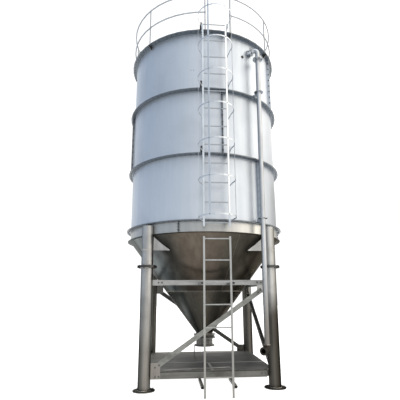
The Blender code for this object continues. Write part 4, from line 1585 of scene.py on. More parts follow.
def circle(centre: Vector, axis: Vector, radius: float, steps: int) -> list[Vector]:
    """Lay points round a circle, with the first again at the end.

    Args:
        centre: Middle of the circle.
        axis: Direction square to it.
        radius: Its radius.
        steps: Number of steps.

    Returns:
        The points.
    """
    first = axis.orthogonal().normalized()
    second = axis.normalized().cross(first)
    turns = [math.tau * i / steps for i in range(steps + 1)]
    return [centre + (first * math.cos(t) + second * math.sin(t)) * radius for t in turns]


def apart(one: float, other: float) -> float:
    """Measure the angle between two azimuths, in degrees."""
    return abs((one - other + 180.0) % 360.0 - 180.0)


class Assembly(Protocol):
    """Any group of pieces that can be built."""

    def build(self, finishes: Finishes) -> None:
        """Build the pieces in their finishes."""


@dataclass
class Cladding:
    """The carried-over solids, each in its own finish."""

    nodes: dict[str, bpy.types.Object]

    def dress(self, finishes: Finishes) -> None:
        """Give every solid its finish by its name.

        Args:
            finishes: The finishes.
        """
        rules = (
            ("outlet_collar", finishes.ring),
            ("hopper", finishes.hopper),
            ("lower_ladder", finishes.ladder),
            ("upper_ladder", finishes.upper_ladder),
            ("cage", finishes.cage),
            ("guard_rail", finishes.rail),
            ("inlet", finishes.inlet),
            ("fill_pipe", finishes.pipe),
            ("skirt", finishes.skirt),
            ("front_left_leg", finishes.leg),
            ("leg", finishes.muddied),
            ("brace", finishes.brace),
            ("diagonal", finishes.diagonal),
            ("beam", finishes.beam),
            ("deck", finishes.deck),
        )
        for name, item in self.nodes.items():
            material = next((made for word, made in rules if word in name), finishes.shell)
            for slot in item.material_slots:
                slot.material = material
            LOG.info("%s: %s", name, material.name)


@dataclass
class RingJoints:
    """Bolts through the flanges between the rings, the roof and the skirt."""

    bolts: int = 96
    bolt_r: float = 1.8775
    post_azimuths: tuple[float, ...] = (
        -2.5, -48.7, -100.0, -101.0, -152.0, -202.9, 156.1, 105.1, 53.5, 15.0,
    )
    bracket_xs: tuple[float, ...] = (-0.189, 0.379)
    pipe_azimuth: float = 34.3
    seam_room: float = 0.9
    post_room: float = 1.6
    bracket_room: float = 0.024

    def clear_below(self, azimuth: float, seams: Iterable[float]) -> bool:
        """Tell whether a head fits under a flange here.

        Args:
            azimuth: Place of the bolt.
            seams: Upright seams of the ring under the joint.

        Returns:
            Whether no seam and no ladder bracket is in the way.
        """
        spot = polar(self.bolt_r, azimuth)
        if any(apart(azimuth, seam) < self.seam_room for seam in seams):
            return False
        return not (spot.y < 0.0 and any(abs(spot.x - x) < self.bracket_room for x in self.bracket_xs))

    def clear_above(self, azimuth: float, seams: Iterable[float], taken: Iterable[float]) -> bool:
        """Tell whether a nut fits on a flange here.

        Args:
            azimuth: Place of the bolt.
            seams: Upright seams of the ring over the joint.
            taken: Azimuths of posts and plates that stand on the flange.

        Returns:
            Whether nothing is in the way.
        """
        return all(apart(azimuth, other) > self.seam_room for other in seams) and all(
            apart(azimuth, other) > self.post_room for other in taken
        )

    def build(self, finishes: Finishes) -> None:
        """Set the bolts of each joint as one piece.

        Args:
            finishes: The finishes.
        """
        joints = (
            ("rim_bolts", RIM_Z, (), TOP_SEAMS, self.post_azimuths),
            ("top_joint_bolts", TOP_JOINT_Z, TOP_SEAMS, MIDDLE_SEAMS, (self.pipe_azimuth,)),
            ("low_joint_bolts", LOW_JOINT_Z, MIDDLE_SEAMS, LOW_SEAMS, ()),
            ("foot_joint_bolts", FOOT_JOINT_Z, LOW_SEAMS, SPLICES, (self.pipe_azimuth,)),
        )
        for name, joint_z, over, under, taken in joints:
            piece = Workpiece(name)
            for i in range(self.bolts):
                azimuth = 360.0 * (i + 0.5) / self.bolts
                if self.clear_below(azimuth, under):
                    seat = polar(self.bolt_r, azimuth, joint_z - GAP / 2 - FLANGE_T)
                    piece.bolt(seat, DOWN, Bolt.M12)
                if self.clear_above(azimuth, over, taken):
                    seat = polar(self.bolt_r, azimuth, joint_z + GAP + FLANGE_T)
                    piece.bolt(seat, UP, Bolt.M12)
            piece.finish(finishes.bolt, "rolled_stainless")


@dataclass
class SheetSeams:
    """Bolts through the lips of the upright seams, and the splices of the skirt."""

    lip: float = 0.0064
    bolt_r: float = 1.860
    pitch: float = 0.160
    end_margin: float = 0.105
    splice_t: float = 0.007
    splice_w: float = 0.030

    def row(self, piece: Workpiece, azimuth: float, heights: Iterable[float]) -> None:
        """Set a row of bolts through one seam.

        Args:
            piece: Piece that takes the bolts.
            azimuth: Place of the seam.
            heights: Height of each bolt.
        """
        turn = math.radians(azimuth)
        across = Vector((math.cos(turn), math.sin(turn), 0.0))
        for height in heights:
            middle = polar(self.bolt_r, azimuth, height)
            piece.bolt(middle + across * self.lip, across, Bolt.M16)
            piece.bolt(middle - across * self.lip, -across, Bolt.M16)

    def build(self, finishes: Finishes) -> None:
        """Build the seam bolts and the skirt's splices.

        Args:
            finishes: The finishes.
        """
        # the lower ring's bolts are stainless ones, as bright as the bars of the cage
        rings = (
            ("top_seam_bolts", TOP_SEAMS, TOP_JOINT_Z, RIM_Z, finishes.bolt),
            ("middle_seam_bolts", MIDDLE_SEAMS, LOW_JOINT_Z, TOP_JOINT_Z, finishes.bolt),
            ("low_seam_bolts", LOW_SEAMS, FOOT_JOINT_Z, LOW_JOINT_Z, finishes.cage),
        )
        for name, seams, low, high, finish in rings:
            piece = Workpiece(name)
            count = round((high - low - 2 * self.end_margin) / self.pitch)
            step = (high - low - 2 * self.end_margin) / count
            for seam in seams:
                self.row(piece, seam, [low + self.end_margin + step * i for i in range(count + 1)])
            piece.finish(finish, "rolled_stainless")

        plates = Workpiece("skirt_splices")
        bolts = Workpiece("skirt_splice_bolts")
        low = SKIRT_END_Z + 0.006
        high = FOOT_JOINT_Z - FLANGE_T - 0.002
        for azimuth in SPLICES:
            turn = math.radians(azimuth)
            spin = Matrix.Rotation(turn, 4, "Z")
            across = Vector((math.cos(turn), math.sin(turn), 0.0))
            for side in (-1.0, 1.0):
                middle = polar(SHELL_R + 0.014, azimuth, (low + high) / 2)
                middle += across * side * (self.splice_t / 2 + GAP)
                plates.block(middle, (self.splice_t, self.splice_w, high - low), spin, 0.001)
            for height in (low + 0.05, (low + high) / 2, high - 0.05):
                seat = polar(SHELL_R + 0.032, azimuth, height)
                offset = across * (self.splice_t + GAP)
                bolts.bolt(seat + offset, across, Bolt.M12)
                bolts.bolt(seat - offset, -across, Bolt.M12)
        plates.finish(finishes.skirt, "rolled_stainless")
        bolts.finish(finishes.bolt, "rolled_stainless")


@dataclass
class HopperWelds:
    """Weld beads of the cone: its level seams and the joints down its slope."""

    top_z: float = 3.1107
    seam_z: float = HOPPER_SEAM_Z
    end_z: float = 0.965
    end_r: float = 0.197
    joints: tuple[float, ...] = (20.0, 110.0, 200.0, 290.0)
    bead_r: float = 0.005

    def radius(self, height: float) -> float:
        """Find the cone's outer radius.

        Args:
            height: Height above the ground.

        Returns:
            The radius there.
        """
        slope = (SHELL_R - self.end_r) / (self.top_z - self.end_z)
        return SHELL_R - (self.top_z - height) * slope

    def build(self, finishes: Finishes) -> None:
        """Lay the beads.

        Args:
            finishes: The finishes.
        """
        piece = Workpiece("hopper_welds")
        for height in (self.seam_z, self.end_z + 0.004):
            middle = Vector((0.0, 0.0, height))
            piece.bead(circle(middle, UP, self.radius(height), 240), self.bead_r)
        upper, lower = (self.seam_z, self.top_z - 0.014), (self.end_z, self.seam_z)
        for shift, (low, high) in ((0.0, upper), (45.0, lower)):
            for azimuth in self.joints:
                steps = 60
                points = []
                for i in range(steps + 1):
                    height = low + (high - low) * i / steps
                    points.append(polar(self.radius(height), azimuth + shift, height))
                piece.bead(points, self.bead_r * 0.8)
        piece.finish(finishes.dull_weld, "hopper_stainless", smooth=True)


@dataclass
class OutletFittings:
    """Seal, bolts and the thin bent rod of the outlet collar."""

    plate_tops: tuple[float, float] = (0.9377, 0.8637)
    plate_t: float = 0.016
    seal_r: float = 0.228
    bolt_r: float = 0.2455
    bolts: int = 12
    foot_top: float = 0.690
    foot_bolt_r: float = 0.2225
    rod_r: float = 0.010

    def build(self, finishes: Finishes) -> None:
        """Build the seal, the bolts and the rod.

        Args:
            finishes: The finishes.
        """
        foot = Vector((0.0, 0.0, 0.0))
        low = self.plate_tops[1]
        high = self.plate_tops[0] - self.plate_t
        seal = Workpiece("outlet_seal")
        outline = (
            (self.seal_r, low + 0.001),
            (self.seal_r + 0.005, low + 0.010),
            (self.seal_r + 0.003, (low + high) / 2),
            (self.seal_r + 0.005, high - 0.010),
            (self.seal_r, high - 0.001),
        )
        seal.turned(foot, UP, outline, 64, closed=True)
        seal.finish(finishes.rubber, "hopper_stainless", smooth=True)

        bolts = Workpiece("outlet_bolts")
        for i in range(self.bolts):
            azimuth = 360.0 * (i + 0.5) / self.bolts
            top = polar(self.bolt_r, azimuth, self.plate_tops[0])
            bolts.bolt(top, UP, Bolt.M8)
            under = polar(self.bolt_r, azimuth, low - self.plate_t)
            bolts.bolt(under, DOWN, Bolt.M8)
            bolts.swept([Vector((top.x, top.y, high)), Vector((top.x, top.y, low))], [0.005] * 2, 8)
            if i % 2:
                bolts.bolt(polar(self.foot_bolt_r, azimuth, self.foot_top), UP, Bolt.M12)
        bolts.finish(finishes.bolt, "hopper_stainless")

        rod = Workpiece("outlet_rod")
        path = [(-0.200, 0.02, 0.696), (-0.224, 0.02, 0.694), (-0.236, 0.02, 0.672)]
        path += [(-0.240, 0.02, 0.64 - 0.05 * i) for i in range(5)]
        path += [(-0.238, 0.02, 0.405), (-0.222, 0.02, 0.385), (-0.196, 0.02, 0.380)]
        rod.swept([Vector(point) for point in path], [self.rod_r] * len(path), 8)
        rod.finish(finishes.rod, "hopper_stainless", smooth=True)


@dataclass
class LegFittings:
    """Bolts and weld beads of the four legs."""

    joint_z: float = LEG_JOINT_Z
    flange_t: float = 0.024
    flange_bolt_r: float = 0.166
    flange_bolts: int = 8
    base_t: float = 0.016
    base_bolt_r: float = 0.186
    base_bolts: int = 6
    stud_r: float = 0.008
    stud_h: float = 0.050
    band_z: float = 2.782

    def build(self, finishes: Finishes) -> None:
        """Fit out the four legs.

        Args:
            finishes: The finishes.
        """
        bolts = Workpiece("leg_bolts")
        welds = Workpiece("leg_welds")
        for corner in range(4):
            azimuth = -45.0 + 90.0 * corner
            foot = polar(LEG_HALF_SPAN * math.sqrt(2.0), azimuth)
            for i in range(self.flange_bolts):
                spot = foot + polar(self.flange_bolt_r, 360.0 * (i + 0.5) / self.flange_bolts)
                reach = GAP / 2 + self.flange_t
                bolts.bolt(spot + UP * (self.joint_z - reach), DOWN, Bolt.M16)
                bolts.bolt(spot + UP * (self.joint_z + reach), UP, Bolt.M16)
            for i in range(self.base_bolts):
                spot = foot + polar(self.base_bolt_r, azimuth + 360.0 * (i + 0.5) / self.base_bolts)
                bolts.bolt(spot + UP * self.base_t, UP, Bolt.M16)
                stud = (
                    (0.0, self.base_t),
                    (self.stud_r, self.base_t),
                    (self.stud_r, self.stud_h - 0.002),
                    (self.stud_r - 0.002, self.stud_h),
                    (0.0, self.stud_h),
                )
                bolts.turned(spot, UP, stud, 10)
            rings = (self.base_t, self.joint_z - self.flange_t, self.joint_z + self.flange_t, self.band_z)
            for height in rings:
                welds.bead(circle(foot + UP * height, UP, LEG_R, 64), 0.006)
        bolts.finish(finishes.bolt, "pipe_stainless")
        welds.finish(finishes.weld, "pipe_stainless", smooth=True)


@dataclass
class FrameBolts:
    """Bolts of the braces, diagonals and beams on the four sides of the frame."""

    face: float = -1.3305
    plate_face: float = -1.3388
    plate_bolts: tuple[tuple[float, float], ...] = (
        (-1.079, 2.098), (-1.006, 2.098), (-1.114, 0.428), (-1.035, 0.469), (-1.110, 0.252), (-1.040, 0.252),
    )
    face_bolts: tuple[tuple[float, float], ...] = (
        (1.030, 2.100), (1.115, 2.100), (1.108, 1.940), (1.045, 1.892), (1.061, 0.278), (1.133, 0.278),
    )

    def build(self, finishes: Finishes) -> None:
        """Set the bolts on the four sides.

        Args:
            finishes: The finishes.
        """
        piece = Workpiece("frame_bolts")
        for side in range(4):
            spin = Matrix.Rotation(math.radians(90.0 * side), 4, "Z")
            out = spin @ Vector((0.0, -1.0, 0.0))
            for x, z in self.plate_bolts:
                piece.bolt(spin @ Vector((x, self.plate_face, z)), out, Bolt.M16)
            for x, z in self.face_bolts:
                piece.bolt(spin @ Vector((x, self.face, z)), out, Bolt.M16)
        piece.finish(finishes.bolt, "brace_steel")


@dataclass
class DeckDetails:
    """Cover strips over the deck's seams, and the screws of its edges."""

    top_z: float = 0.3533
    edge: float = 1.300
    corner: float = 1.150
    seam_x: float = 0.050
    long_seam: tuple[float, float] = (-1.318, -0.410)
    strip_w: float = 0.045
    strip_t: float = 0.003
    cross_seams: tuple[tuple[float, float, float], ...] = ((-1.318, -0.065, -0.330), (-0.055, 1.318, -0.430))
    loose_bar: tuple[float, float, float, float] = (-0.27, -1.138, 1.46, 0.110)
    loose_turn: float = 7.4
    screw_steps: int = 8

    def build(self, finishes: Finishes) -> None:
        """Lay the strips and set the screws.

        Args:
            finishes: The finishes.
        """
        strips = Workpiece("deck_strips")
        middle_z = self.top_z + self.strip_t / 2
        low, high = self.long_seam
        centre = Vector((self.seam_x, (low + high) / 2, middle_z))
        strips.block(centre, (self.strip_w, high - low, self.strip_t), edge=0.001)
        for low, high, y in self.cross_seams:
            centre = Vector(((low + high) / 2, y, middle_z))
            strips.block(centre, (high - low, self.strip_w, self.strip_t), edge=0.001)
        x, y, length, width = self.loose_bar
        slip = Matrix.Rotation(math.radians(self.loose_turn), 4, "Z")
        middle_z = self.top_z + self.strip_t * 1.5 + GAP
        strips.block(Vector((x, y, middle_z)), (length, width, self.strip_t), slip, 0.001)
        strips.finish(finishes.strip, "deck_sheet")

        screws = Workpiece("deck_screws")
        head = ((0.0, 0.0), (0.009, 0.0), (0.0085, 0.003), (0.005, 0.0055), (0.0, 0.006))
        for i in range(self.screw_steps + 1):
            run = -self.corner + 2 * self.corner * i / self.screw_steps
            for x, y in ((run, self.edge), (run, -self.edge), (self.edge, run), (-self.edge, run)):
                if abs(x - self.seam_x) > self.strip_w:
                    screws.turned(Vector((x, y, self.top_z)), UP, head, 10)
        screws.finish(finishes.bolt, "deck_sheet", smooth=True)


@dataclass
class LadderFittings:
    """Weld collars of the rungs, side plates at the rings, and bolts of both ladders' brackets and arms."""

    half_w: float = LADDER_HALF_W
    stile_w: float = STILE_W
    rung_r: float = 0.013
    lower_rungs: tuple[float, ...] = (0.347, 0.804, 1.232, 1.660, 2.088, 2.516, 2.944)
    upper_first: float = 3.2715
    upper_pitch: float = 0.4235
    upper_count: int = 12
    bracket_t: float = 0.006
    plate_w: float = 0.040
    plate_h: float = 0.085
    plate_drop: float = 0.030
    plate_back: float = 1.900
    foot_w: float = 0.025

    def build(self, finishes: Finishes) -> None:
        """Fit out both ladders.

        Args:
            finishes: The finishes.
        """
        upper = [self.upper_first + self.upper_pitch * i for i in range(self.upper_count)]
        welds = Workpiece("rung_welds")
        ring = ((self.rung_r, -0.004), (self.rung_r + 0.004, -0.003), (self.rung_r, 0.004))
        inner = self.half_w - self.stile_w / 2
        for height in (*self.lower_rungs, *upper):
            for side in (-1.0, 1.0):
                spot = Vector((LADDER_X + side * (inner - 0.003), LADDER_Y, height))
                welds.turned(spot, Vector((side, 0.0, 0.0)), ring, 10, closed=True)
        welds.finish(finishes.weld, "rail_steel", smooth=True)

        outer = self.half_w + self.stile_w / 2
        back = -self.plate_back
        front = LADDER_Y - self.stile_w / 2
        # the left plates take the finish of painted shade, the right ones the brighter finish of the cage:
        # shaded and lit copies of one bracket
        for side, name, finish in (
            (-1.0, "ladder_side_plates_left", finishes.stand_off),
            (1.0, "ladder_side_plates_right", finishes.cage),
        ):
            plates = Workpiece(name)
            x = LADDER_X + side * (outer + self.plate_w / 2 + GAP)
            for joint_z in (RIM_Z, TOP_JOINT_Z, LOW_JOINT_Z):
                low = joint_z + self.plate_drop
                plates.block(
                    Vector((x, (front + back) / 2, low + self.plate_h / 2)),
                    (self.plate_w, back - front, self.plate_h),
                    edge=0.001,
                )
                foot = joint_z + FLANGE_T + GAP
                plates.block(
                    Vector((x, back - self.foot_w / 2, (foot + low + 0.004) / 2)),
                    (self.plate_w, self.foot_w, low + 0.004 - foot),
                    edge=0.001,
                )
            plates.finish(finish, "rail_steel")

        bolts = Workpiece("ladder_bolts")
        for joint_z in (RIM_Z, TOP_JOINT_Z, LOW_JOINT_Z, FOOT_JOINT_Z):
            for side in (-1.0, 1.0):
                x = LADDER_X + side * (outer + self.bracket_t - 0.001)
                for y, drop in ((LADDER_Y + 0.004, 0.055), (LADDER_Y + 0.045, 0.040)):
                    spot = Vector((x, y, joint_z - FLANGE_T - drop))
                    bolts.bolt(spot, Vector((side, 0.0, 0.0)), Bolt.M8)
        arm_x = outer + GAP + 0.050
        for height in (2.068, 0.184):
            for side in (-1.0, 1.0):
                spot = Vector((LADDER_X + side * arm_x, LADDER_Y + 0.006, height))
                bolts.bolt(spot, Vector((side, 0.0, 0.0)), Bolt.M12)
        bolts.finish(finishes.bolt, "rail_steel")

        pads = Workpiece("ladder_feet")
        for side in (-1.0, 1.0):
            centre = Vector((LADDER_X + side * self.half_w, LADDER_Y, 0.004))
            pads.block(centre, (0.046, 0.050, 0.008), edge=0.0015)
        pads.finish(finishes.ladder, "rail_steel")


@dataclass
class CageFittings:
    """Bolts where the cage's hoops cross its straps and meet the ladder."""

    centre: tuple[float, float] = (0.066, -2.380)
    radius: float = 0.3725
    bar_azimuths: tuple[float, ...] = (-92.0, -30.0, 30.0, 92.0)
    first_z: float = 3.300
    pitch: float = 0.7567
    hoops: int = 8
    top_z: float = 8.925
    ladder_top: float = 7.945
    tab_x: float = LADDER_HALF_W + STILE_W / 2 + GAP + 0.005

    def build(self, finishes: Finishes) -> None:
        """Set the bolts.

        Args:
            finishes: The finishes.
        """
        piece = Workpiece("cage_bolts")
        heights = [self.first_z + self.pitch * i for i in range(self.hoops)] + [self.top_z]
        middle = Vector((*self.centre, 0.0))
        for height in heights:
            for azimuth in self.bar_azimuths:
                out = polar(1.0, azimuth)
                piece.bolt(middle + out * self.radius + UP * height, out, Bolt.M8)
            if height < self.ladder_top:
                for side in (-1.0, 1.0):
                    x = LADDER_X + side * self.tab_x
                    piece.bolt(Vector((x, LADDER_Y - 0.012, height)), Vector((side, 0.0, 0.0)), Bolt.M8)
        piece.finish(finishes.bolt, "rail_steel")


@dataclass
class RailFittings:
    """Feet, collars and gusset lugs of the guard rail's posts."""

    posts: tuple[float, ...] = (-3.0, -48.7, -99.5, -101.5, -152.0, -202.4, 155.6, 105.1, 53.5, 15.5)
    radius: float = 1.880
    tube_r: float = 0.0165
    foot_z: float = ROOF_FOOT_Z
    mid_z: float = 8.370
    top_z: float = 8.865
    lug_t: float = 0.006
    lug_h: float = 0.090

    def build(self, finishes: Finishes) -> None:
        """Fit out the posts.

        Args:
            finishes: The finishes.
        """
        collars = Workpiece("rail_collars")
        lugs = Workpiece("rim_lugs")
        ring = (
            (self.tube_r, -0.025),
            (self.tube_r + 0.004, -0.022),
            (self.tube_r + 0.004, 0.022),
            (self.tube_r, 0.025),
        )
        disc = (
            (self.tube_r, 0.0),
            (0.040, 0.0),
            (0.040, 0.008),
            (self.tube_r + 0.005, 0.009),
            (self.tube_r, 0.014),
        )
        under = RIM_Z - GAP / 2 - FLANGE_T
        for azimuth in self.posts:
            spot = polar(self.radius, azimuth)
            collars.turned(spot + UP * (self.foot_z + 0.0005), UP, disc, 20, closed=True)
            collars.turned(spot + UP * self.mid_z, UP, ring, 14, closed=True)
            along = Vector((math.cos(math.radians(azimuth)), math.sin(math.radians(azimuth)), 0.0))
            half = along * self.lug_t / 2
            corners = (
                polar(SHELL_R - 0.002, azimuth, under),
                polar(FLANGE_R - 0.010, azimuth, under),
                polar(FLANGE_R - 0.010, azimuth, under - 0.014),
                polar(SHELL_R - 0.002, azimuth, under - self.lug_h),
            )
            near = [lugs.work.verts.new(corner - half) for corner in corners]
            far = [lugs.work.verts.new(corner + half) for corner in corners]
            lugs.work.faces.new(near)
            lugs.work.faces.new(far)
            for i in range(4):
                j = (i + 1) % 4
                lugs.work.faces.new((near[i], near[j], far[j], far[i]))
        collars.finish(finishes.rail, "rail_steel", smooth=True)
        lugs.finish(finishes.ring, "rolled_stainless")


@dataclass
class FillPipeFittings:
    """Bolts, weld rings and the mouth's rim of the fill pipe."""

    foot_x: float = 1.102
    y: float = -1.660
    lean: float = 0.0096
    pipe_r: float = 0.0525
    flange_z: float = 7.310
    flange_t: float = 0.014
    flange_bolt_r: float = 0.090
    flange_bolts: int = 6
    flange_turn: float = 15.0
    collar_zs: tuple[float, ...] = (3.438, 6.438)
    collar_t: float = 0.010
    collar_bolt_r: float = 0.083
    collar_bolts: int = 4
    collar_turn: float = 10.0
    end_z: float = 0.868
    bend_r: float = 0.103
    mouth_leg: float = 0.085
    mouth_azimuth: float = -38.0
    inlet_r: float = 0.060
    coupling_r: float = 0.077

    def axis(self, height: float) -> Vector:
        """Find the pipe's axis.

        Args:
            height: Height above the ground.

        Returns:
            The point of the axis there.
        """
        return Vector((self.foot_x + self.lean * height, self.y, height))

    def build(self, finishes: Finishes) -> None:
        """Fit out the pipe.

        Args:
            finishes: The finishes.
        """
        bolts = Workpiece("fill_pipe_bolts")
        for i in range(self.flange_bolts):
            spot = polar(self.flange_bolt_r, 360.0 * i / self.flange_bolts + self.flange_turn)
            reach = self.flange_t + GAP / 2
            bolts.bolt(self.axis(self.flange_z - reach) + spot, DOWN, Bolt.M12)
            bolts.bolt(self.axis(self.flange_z + reach) + spot, UP, Bolt.M12)
        for low in self.collar_zs:
            for i in range(self.collar_bolts):
                spot = polar(self.collar_bolt_r, 360.0 * i / self.collar_bolts + self.collar_turn)
                bolts.bolt(self.axis(low) + spot, DOWN, Bolt.M8)
                bolts.bolt(self.axis(low + self.collar_t) + spot, UP, Bolt.M8)
        bolts.finish(finishes.bolt, "pipe_stainless")

        welds = Workpiece("fill_pipe_welds")
        rings = (
            (self.end_z + 0.002, self.inlet_r, 0.006),
            (self.flange_z - self.flange_t, self.pipe_r, 0.005),
            (self.flange_z + self.flange_t, self.pipe_r, 0.005),
        )
        for height, radius, bead_r in rings:
            welds.bead(circle(self.axis(height), UP, radius, 48), bead_r)
        welds.finish(finishes.weld, "pipe_stainless", smooth=True)

        way = polar(1.0, self.mouth_azimuth)
        mouth = self.axis(self.end_z) + DOWN * self.bend_r + way * (self.bend_r + self.mouth_leg)
        rim = Workpiece("fill_mouth_rim")
        outline = (
            (self.coupling_r - 0.001, -0.012),
            (self.coupling_r + 0.003, -0.011),
            (self.coupling_r + 0.003, -0.003),
            (self.coupling_r + 0.001, 0.001),
            (self.coupling_r - 0.004, 0.001),
        )
        rim.turned(mouth, way, outline, 32, closed=True)
        rim.finish(finishes.inlet, "pipe_stainless", smooth=True)


@dataclass
class RoofDetails:
    """Raised seams of the roof, and the clamps and handle of its cover."""

    foot_z: float = ROOF_FOOT_Z
    rise: float = 0.340
    ribs: int = 16
    rib_w: float = 0.028
    rib_h: float = 0.022
    inner_r: float = 0.335
    outer_r: float = 1.800
    lid_top: float = 8.3086
    clamps: int = 6
    clamp_r: float = 0.322
    clamp_bolt_r: float = 0.314

    def build(self, finishes: Finishes) -> None:
        """Build the seams, the clamps and the handle.

        Args:
            finishes: The finishes.
        """
        ribs = Workpiece("roof_seams")
        slope = math.atan2(self.rise, SHELL_R)
        middle_r = (self.inner_r + self.outer_r) / 2
        length = (self.outer_r - self.inner_r) / math.cos(slope)
        for i in range(self.ribs):
            azimuth = 360.0 * (i + 0.5) / self.ribs
            height = self.foot_z + self.rise * (1.0 - middle_r / SHELL_R) + self.rib_h / 2 - 0.002
            spin = Matrix.Rotation(math.radians(azimuth), 4, "Z") @ Matrix.Rotation(slope, 4, "X")
            ribs.block(polar(middle_r, azimuth, height), (self.rib_w, length, self.rib_h), spin, 0.004)
        ribs.finish(finishes.shell, "rolled_stainless")

        handle = Workpiece("cover_handle")
        top = self.lid_top
        path = [(-0.09, 0.0, top - 0.004), (-0.09, 0.0, top + 0.025), (-0.075, 0.0, top + 0.042)]
        path += [(x, 0.0, top + 0.046) for x in (-0.05, 0.0, 0.05)]
        path += [(0.075, 0.0, top + 0.042), (0.09, 0.0, top + 0.025), (0.09, 0.0, top - 0.004)]
        handle.swept([Vector(point) for point in path], [0.008] * len(path), 10)
        handle.finish(finishes.rail, "rolled_stainless", smooth=True)

        # the bolts come first, because a bevel leaves free places in the mesh in no fixed order, and
        # faces made after it would fill them in another order on each run
        clamps = Workpiece("cover_clamps")
        places = [360.0 * (i + 0.5) / self.clamps for i in range(self.clamps)]
        for azimuth in places:
            clamps.bolt(polar(self.clamp_bolt_r, azimuth, top + 0.006), UP, Bolt.M8)
        for azimuth in places:
            spin = Matrix.Rotation(math.radians(azimuth), 4, "Z")
            clamps.block(polar(self.clamp_r, azimuth, top + 0.003), (0.030, 0.050, 0.006), spin, 0.001)
        clamps.finish(finishes.bolt, "rolled_stainless")


@dataclass
class ShellDetails:
    """Round plug and the small bolts in the sheet of the tank."""

    plug_azimuth: float = 26.4
    plug_z: float = 7.380
    plug_r: float = 0.034
    dot_azimuths: tuple[float, ...] = (-13.4, -11.6)
    dot_z: float = 6.870

    def build(self, finishes: Finishes) -> None:
        """Build the plug and the bolts.

        Args:
            finishes: The finishes.
        """
        plug = Workpiece("shell_plug")
        out = polar(1.0, self.plug_azimuth)
        outline = (
            (0.0, -0.004),
            (self.plug_r, -0.004),
            (self.plug_r, 0.010),
            (self.plug_r - 0.006, 0.016),
            (0.012, 0.016),
            (0.012, 0.024),
            (0.0, 0.024),
        )
        plug.turned(polar(SHELL_R, self.plug_azimuth, self.plug_z), out, outline, 24)
        plug.finish(finishes.rubber, "rolled_stainless", smooth=True)
        bolts = Workpiece("shell_bolts")
        for azimuth in self.dot_azimuths:
            bolts.bolt(polar(SHELL_R - 0.001, azimuth, self.dot_z), polar(1.0, azimuth), Bolt.M8)
        bolts.finish(finishes.bolt, "rolled_stainless")


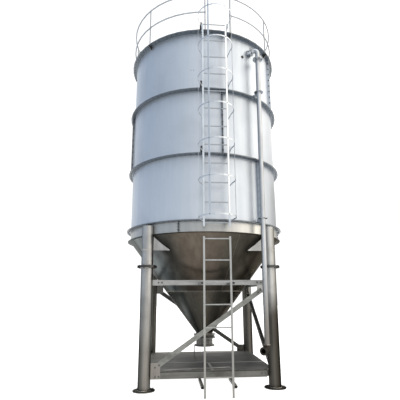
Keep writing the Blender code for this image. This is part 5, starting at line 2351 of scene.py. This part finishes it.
@dataclass
class Studio:
    """Pale floor, and soft light all round: cool and low on the left, bright on the right."""

    floor_half: float = 60.0
    low: tuple[tuple[float, str, float], ...] = (
        (-180.0, "#FFFFFF", 1.15), (-145.0, "#FFFFFF", 1.1), (-115.0, "#DDEBFF", 0.86),
        (-53.0, "#EAF5FF", 0.86), (-25.0, "#F8FBFF", 0.95), (0.0, "#FFFCF6", 1.22),
        (25.0, "#FFFAF2", 1.2), (52.0, "#FFF7EB", 1.9), (75.0, "#FFF7EB", 2.1), (100.0, "#FFF7EB", 1.5),
        (118.0, "#FFF7EB", 0.6), (138.0, "#FFF9F0", 0.6), (149.0, "#FFFFFF", 1.1), (180.0, "#FFFFFF", 1.15),
    )
    high: tuple[tuple[float, str, float], ...] = (
        (-180.0, "#FFFFFF", 1.15), (-150.0, "#FFFFFF", 1.1), (-122.0, "#D9E9FF", 0.78),
        (-107.0, "#D9E9FF", 0.72), (-57.0, "#E1EFFF", 0.73), (-27.0, "#E8F3FF", 0.74),
        (-8.0, "#FBFCFF", 1.24), (14.0, "#FFFCF6", 1.58), (32.0, "#FFFAF2", 1.5), (48.0, "#FFF7EB", 2.2),
        (75.0, "#FFF7EB", 2.7), (139.0, "#FFF9F0", 1.9), (180.0, "#FFFFFF", 1.15),
    )
    overhead: float = 2.4
    fade: tuple[float, float] = (11.0, 27.0)
    overhead_fade: tuple[float, float] = (44.0, 64.0)

    def build(self, finishes: Finishes) -> None:
        """Build the floor and the surrounding light.

        Args:
            finishes: The finishes.
        """
        reach = self.floor_half
        mesh = bpy.data.meshes.new("studio_floor")
        corners = [(-reach, -reach, 0.0), (reach, -reach, 0.0), (reach, reach, 0.0), (-reach, reach, 0.0)]
        mesh.from_pydata(corners, [], [(0, 1, 2, 3)])
        mesh.materials.append(finishes.floor)
        floor = bpy.data.objects.new("studio_floor", mesh)
        bpy.context.scene.collection.objects.link(floor)

        world = bpy.data.worlds.new("studio_surround")
        world.use_nodes = True
        bpy.context.scene.world = world
        tree = world.node_tree
        tree.nodes.clear()
        way = add_node(tree, "ShaderNodeTexCoord", {}).outputs["Generated"]
        rise = add_node(tree, "ShaderNodeSeparateXYZ", {0: way}).outputs[2]
        turn = azimuth_of(tree, way)
        bands = [
            shaded_round(tree, turn, [(place, self.glow(code, level)) for place, code, level in stops])
            for stops in (self.low, self.high)
        ]
        bands.append(self.glow("#FFFFFF", self.overhead))
        colour = bands[0]
        for (start, end), band in zip((self.fade, self.overhead_fade), bands[1:]):
            share = add_node(
                tree,
                "ShaderNodeMapRange",
                {"Value": rise, 1: math.sin(math.radians(start)), 2: math.sin(math.radians(end))},
                interpolation_type="SMOOTHSTEP",
            ).outputs[0]
            colour = add_node(
                tree, "ShaderNodeMix", {0: share, 6: colour, 7: band}, data_type="RGBA"
            ).outputs[2]
        lit = add_node(tree, "ShaderNodeBackground", {"Color": colour, "Strength": 1.0})
        add_node(tree, "ShaderNodeOutputWorld", {0: lit.outputs[0]})
        bpy.context.scene.view_settings.view_transform = "Standard"
        LOG.info("studio: floor and surround")

    def glow(self, code: str, level: float) -> Colour:
        """Scale a colour to a brightness.

        Args:
            code: The colour at full strength.
            level: Brightness.

        Returns:
            The scaled colour in linear light.
        """
        red, green, blue, _ = linear(code)
        return (red * level, green * level, blue * level, 1.0)


@dataclass
class PhotoCamera:
    """Camera at the photograph's place and angle."""

    place: tuple[float, float, float] = (-0.8232, -9.01125, 1.8316)
    yaw: float = -4.745
    pitch: float = 13.209
    roll: float = -0.3103
    lens: float = 33.7014
    shift: tuple[float, float] = (-0.0049, 0.0189)

    def build(self) -> None:
        """Set the camera up."""
        data = bpy.data.cameras.new("photo_camera")
        data.sensor_width = 36.0
        data.lens = self.lens
        data.shift_x, data.shift_y = self.shift
        data.clip_end = 200.0
        camera = bpy.data.objects.new("photo_camera", data)
        turn = Matrix.Rotation(math.radians(self.yaw), 4, "Z")
        turn @= Matrix.Rotation(math.radians(90.0 + self.pitch), 4, "X")
        turn @= Matrix.Rotation(math.radians(self.roll), 4, "Z")
        camera.matrix_world = Matrix.Translation(self.place) @ turn
        bpy.context.scene.collection.objects.link(camera)
        bpy.context.scene.camera = camera
        LOG.info("camera at %s", self.place)


def main() -> None:
    """Load the solids, dress them and build every piece round them."""
    logging.basicConfig(level=logging.INFO, format="%(message)s")
    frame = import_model()
    finishes = Finishes()
    Cladding(frame["nodes"]).dress(finishes)
    assemblies: tuple[type[Assembly], ...] = (
        RingJoints,
        SheetSeams,
        HopperWelds,
        OutletFittings,
        LegFittings,
        FrameBolts,
        DeckDetails,
        LadderFittings,
        CageFittings,
        RailFittings,
        FillPipeFittings,
        RoofDetails,
        ShellDetails,
        Studio,
    )
    for assembly in assemblies:
        assembly().build(finishes)
        LOG.info("%s done", assembly.__name__)
    PhotoCamera().build()


if __name__ == "__main__":
    main()
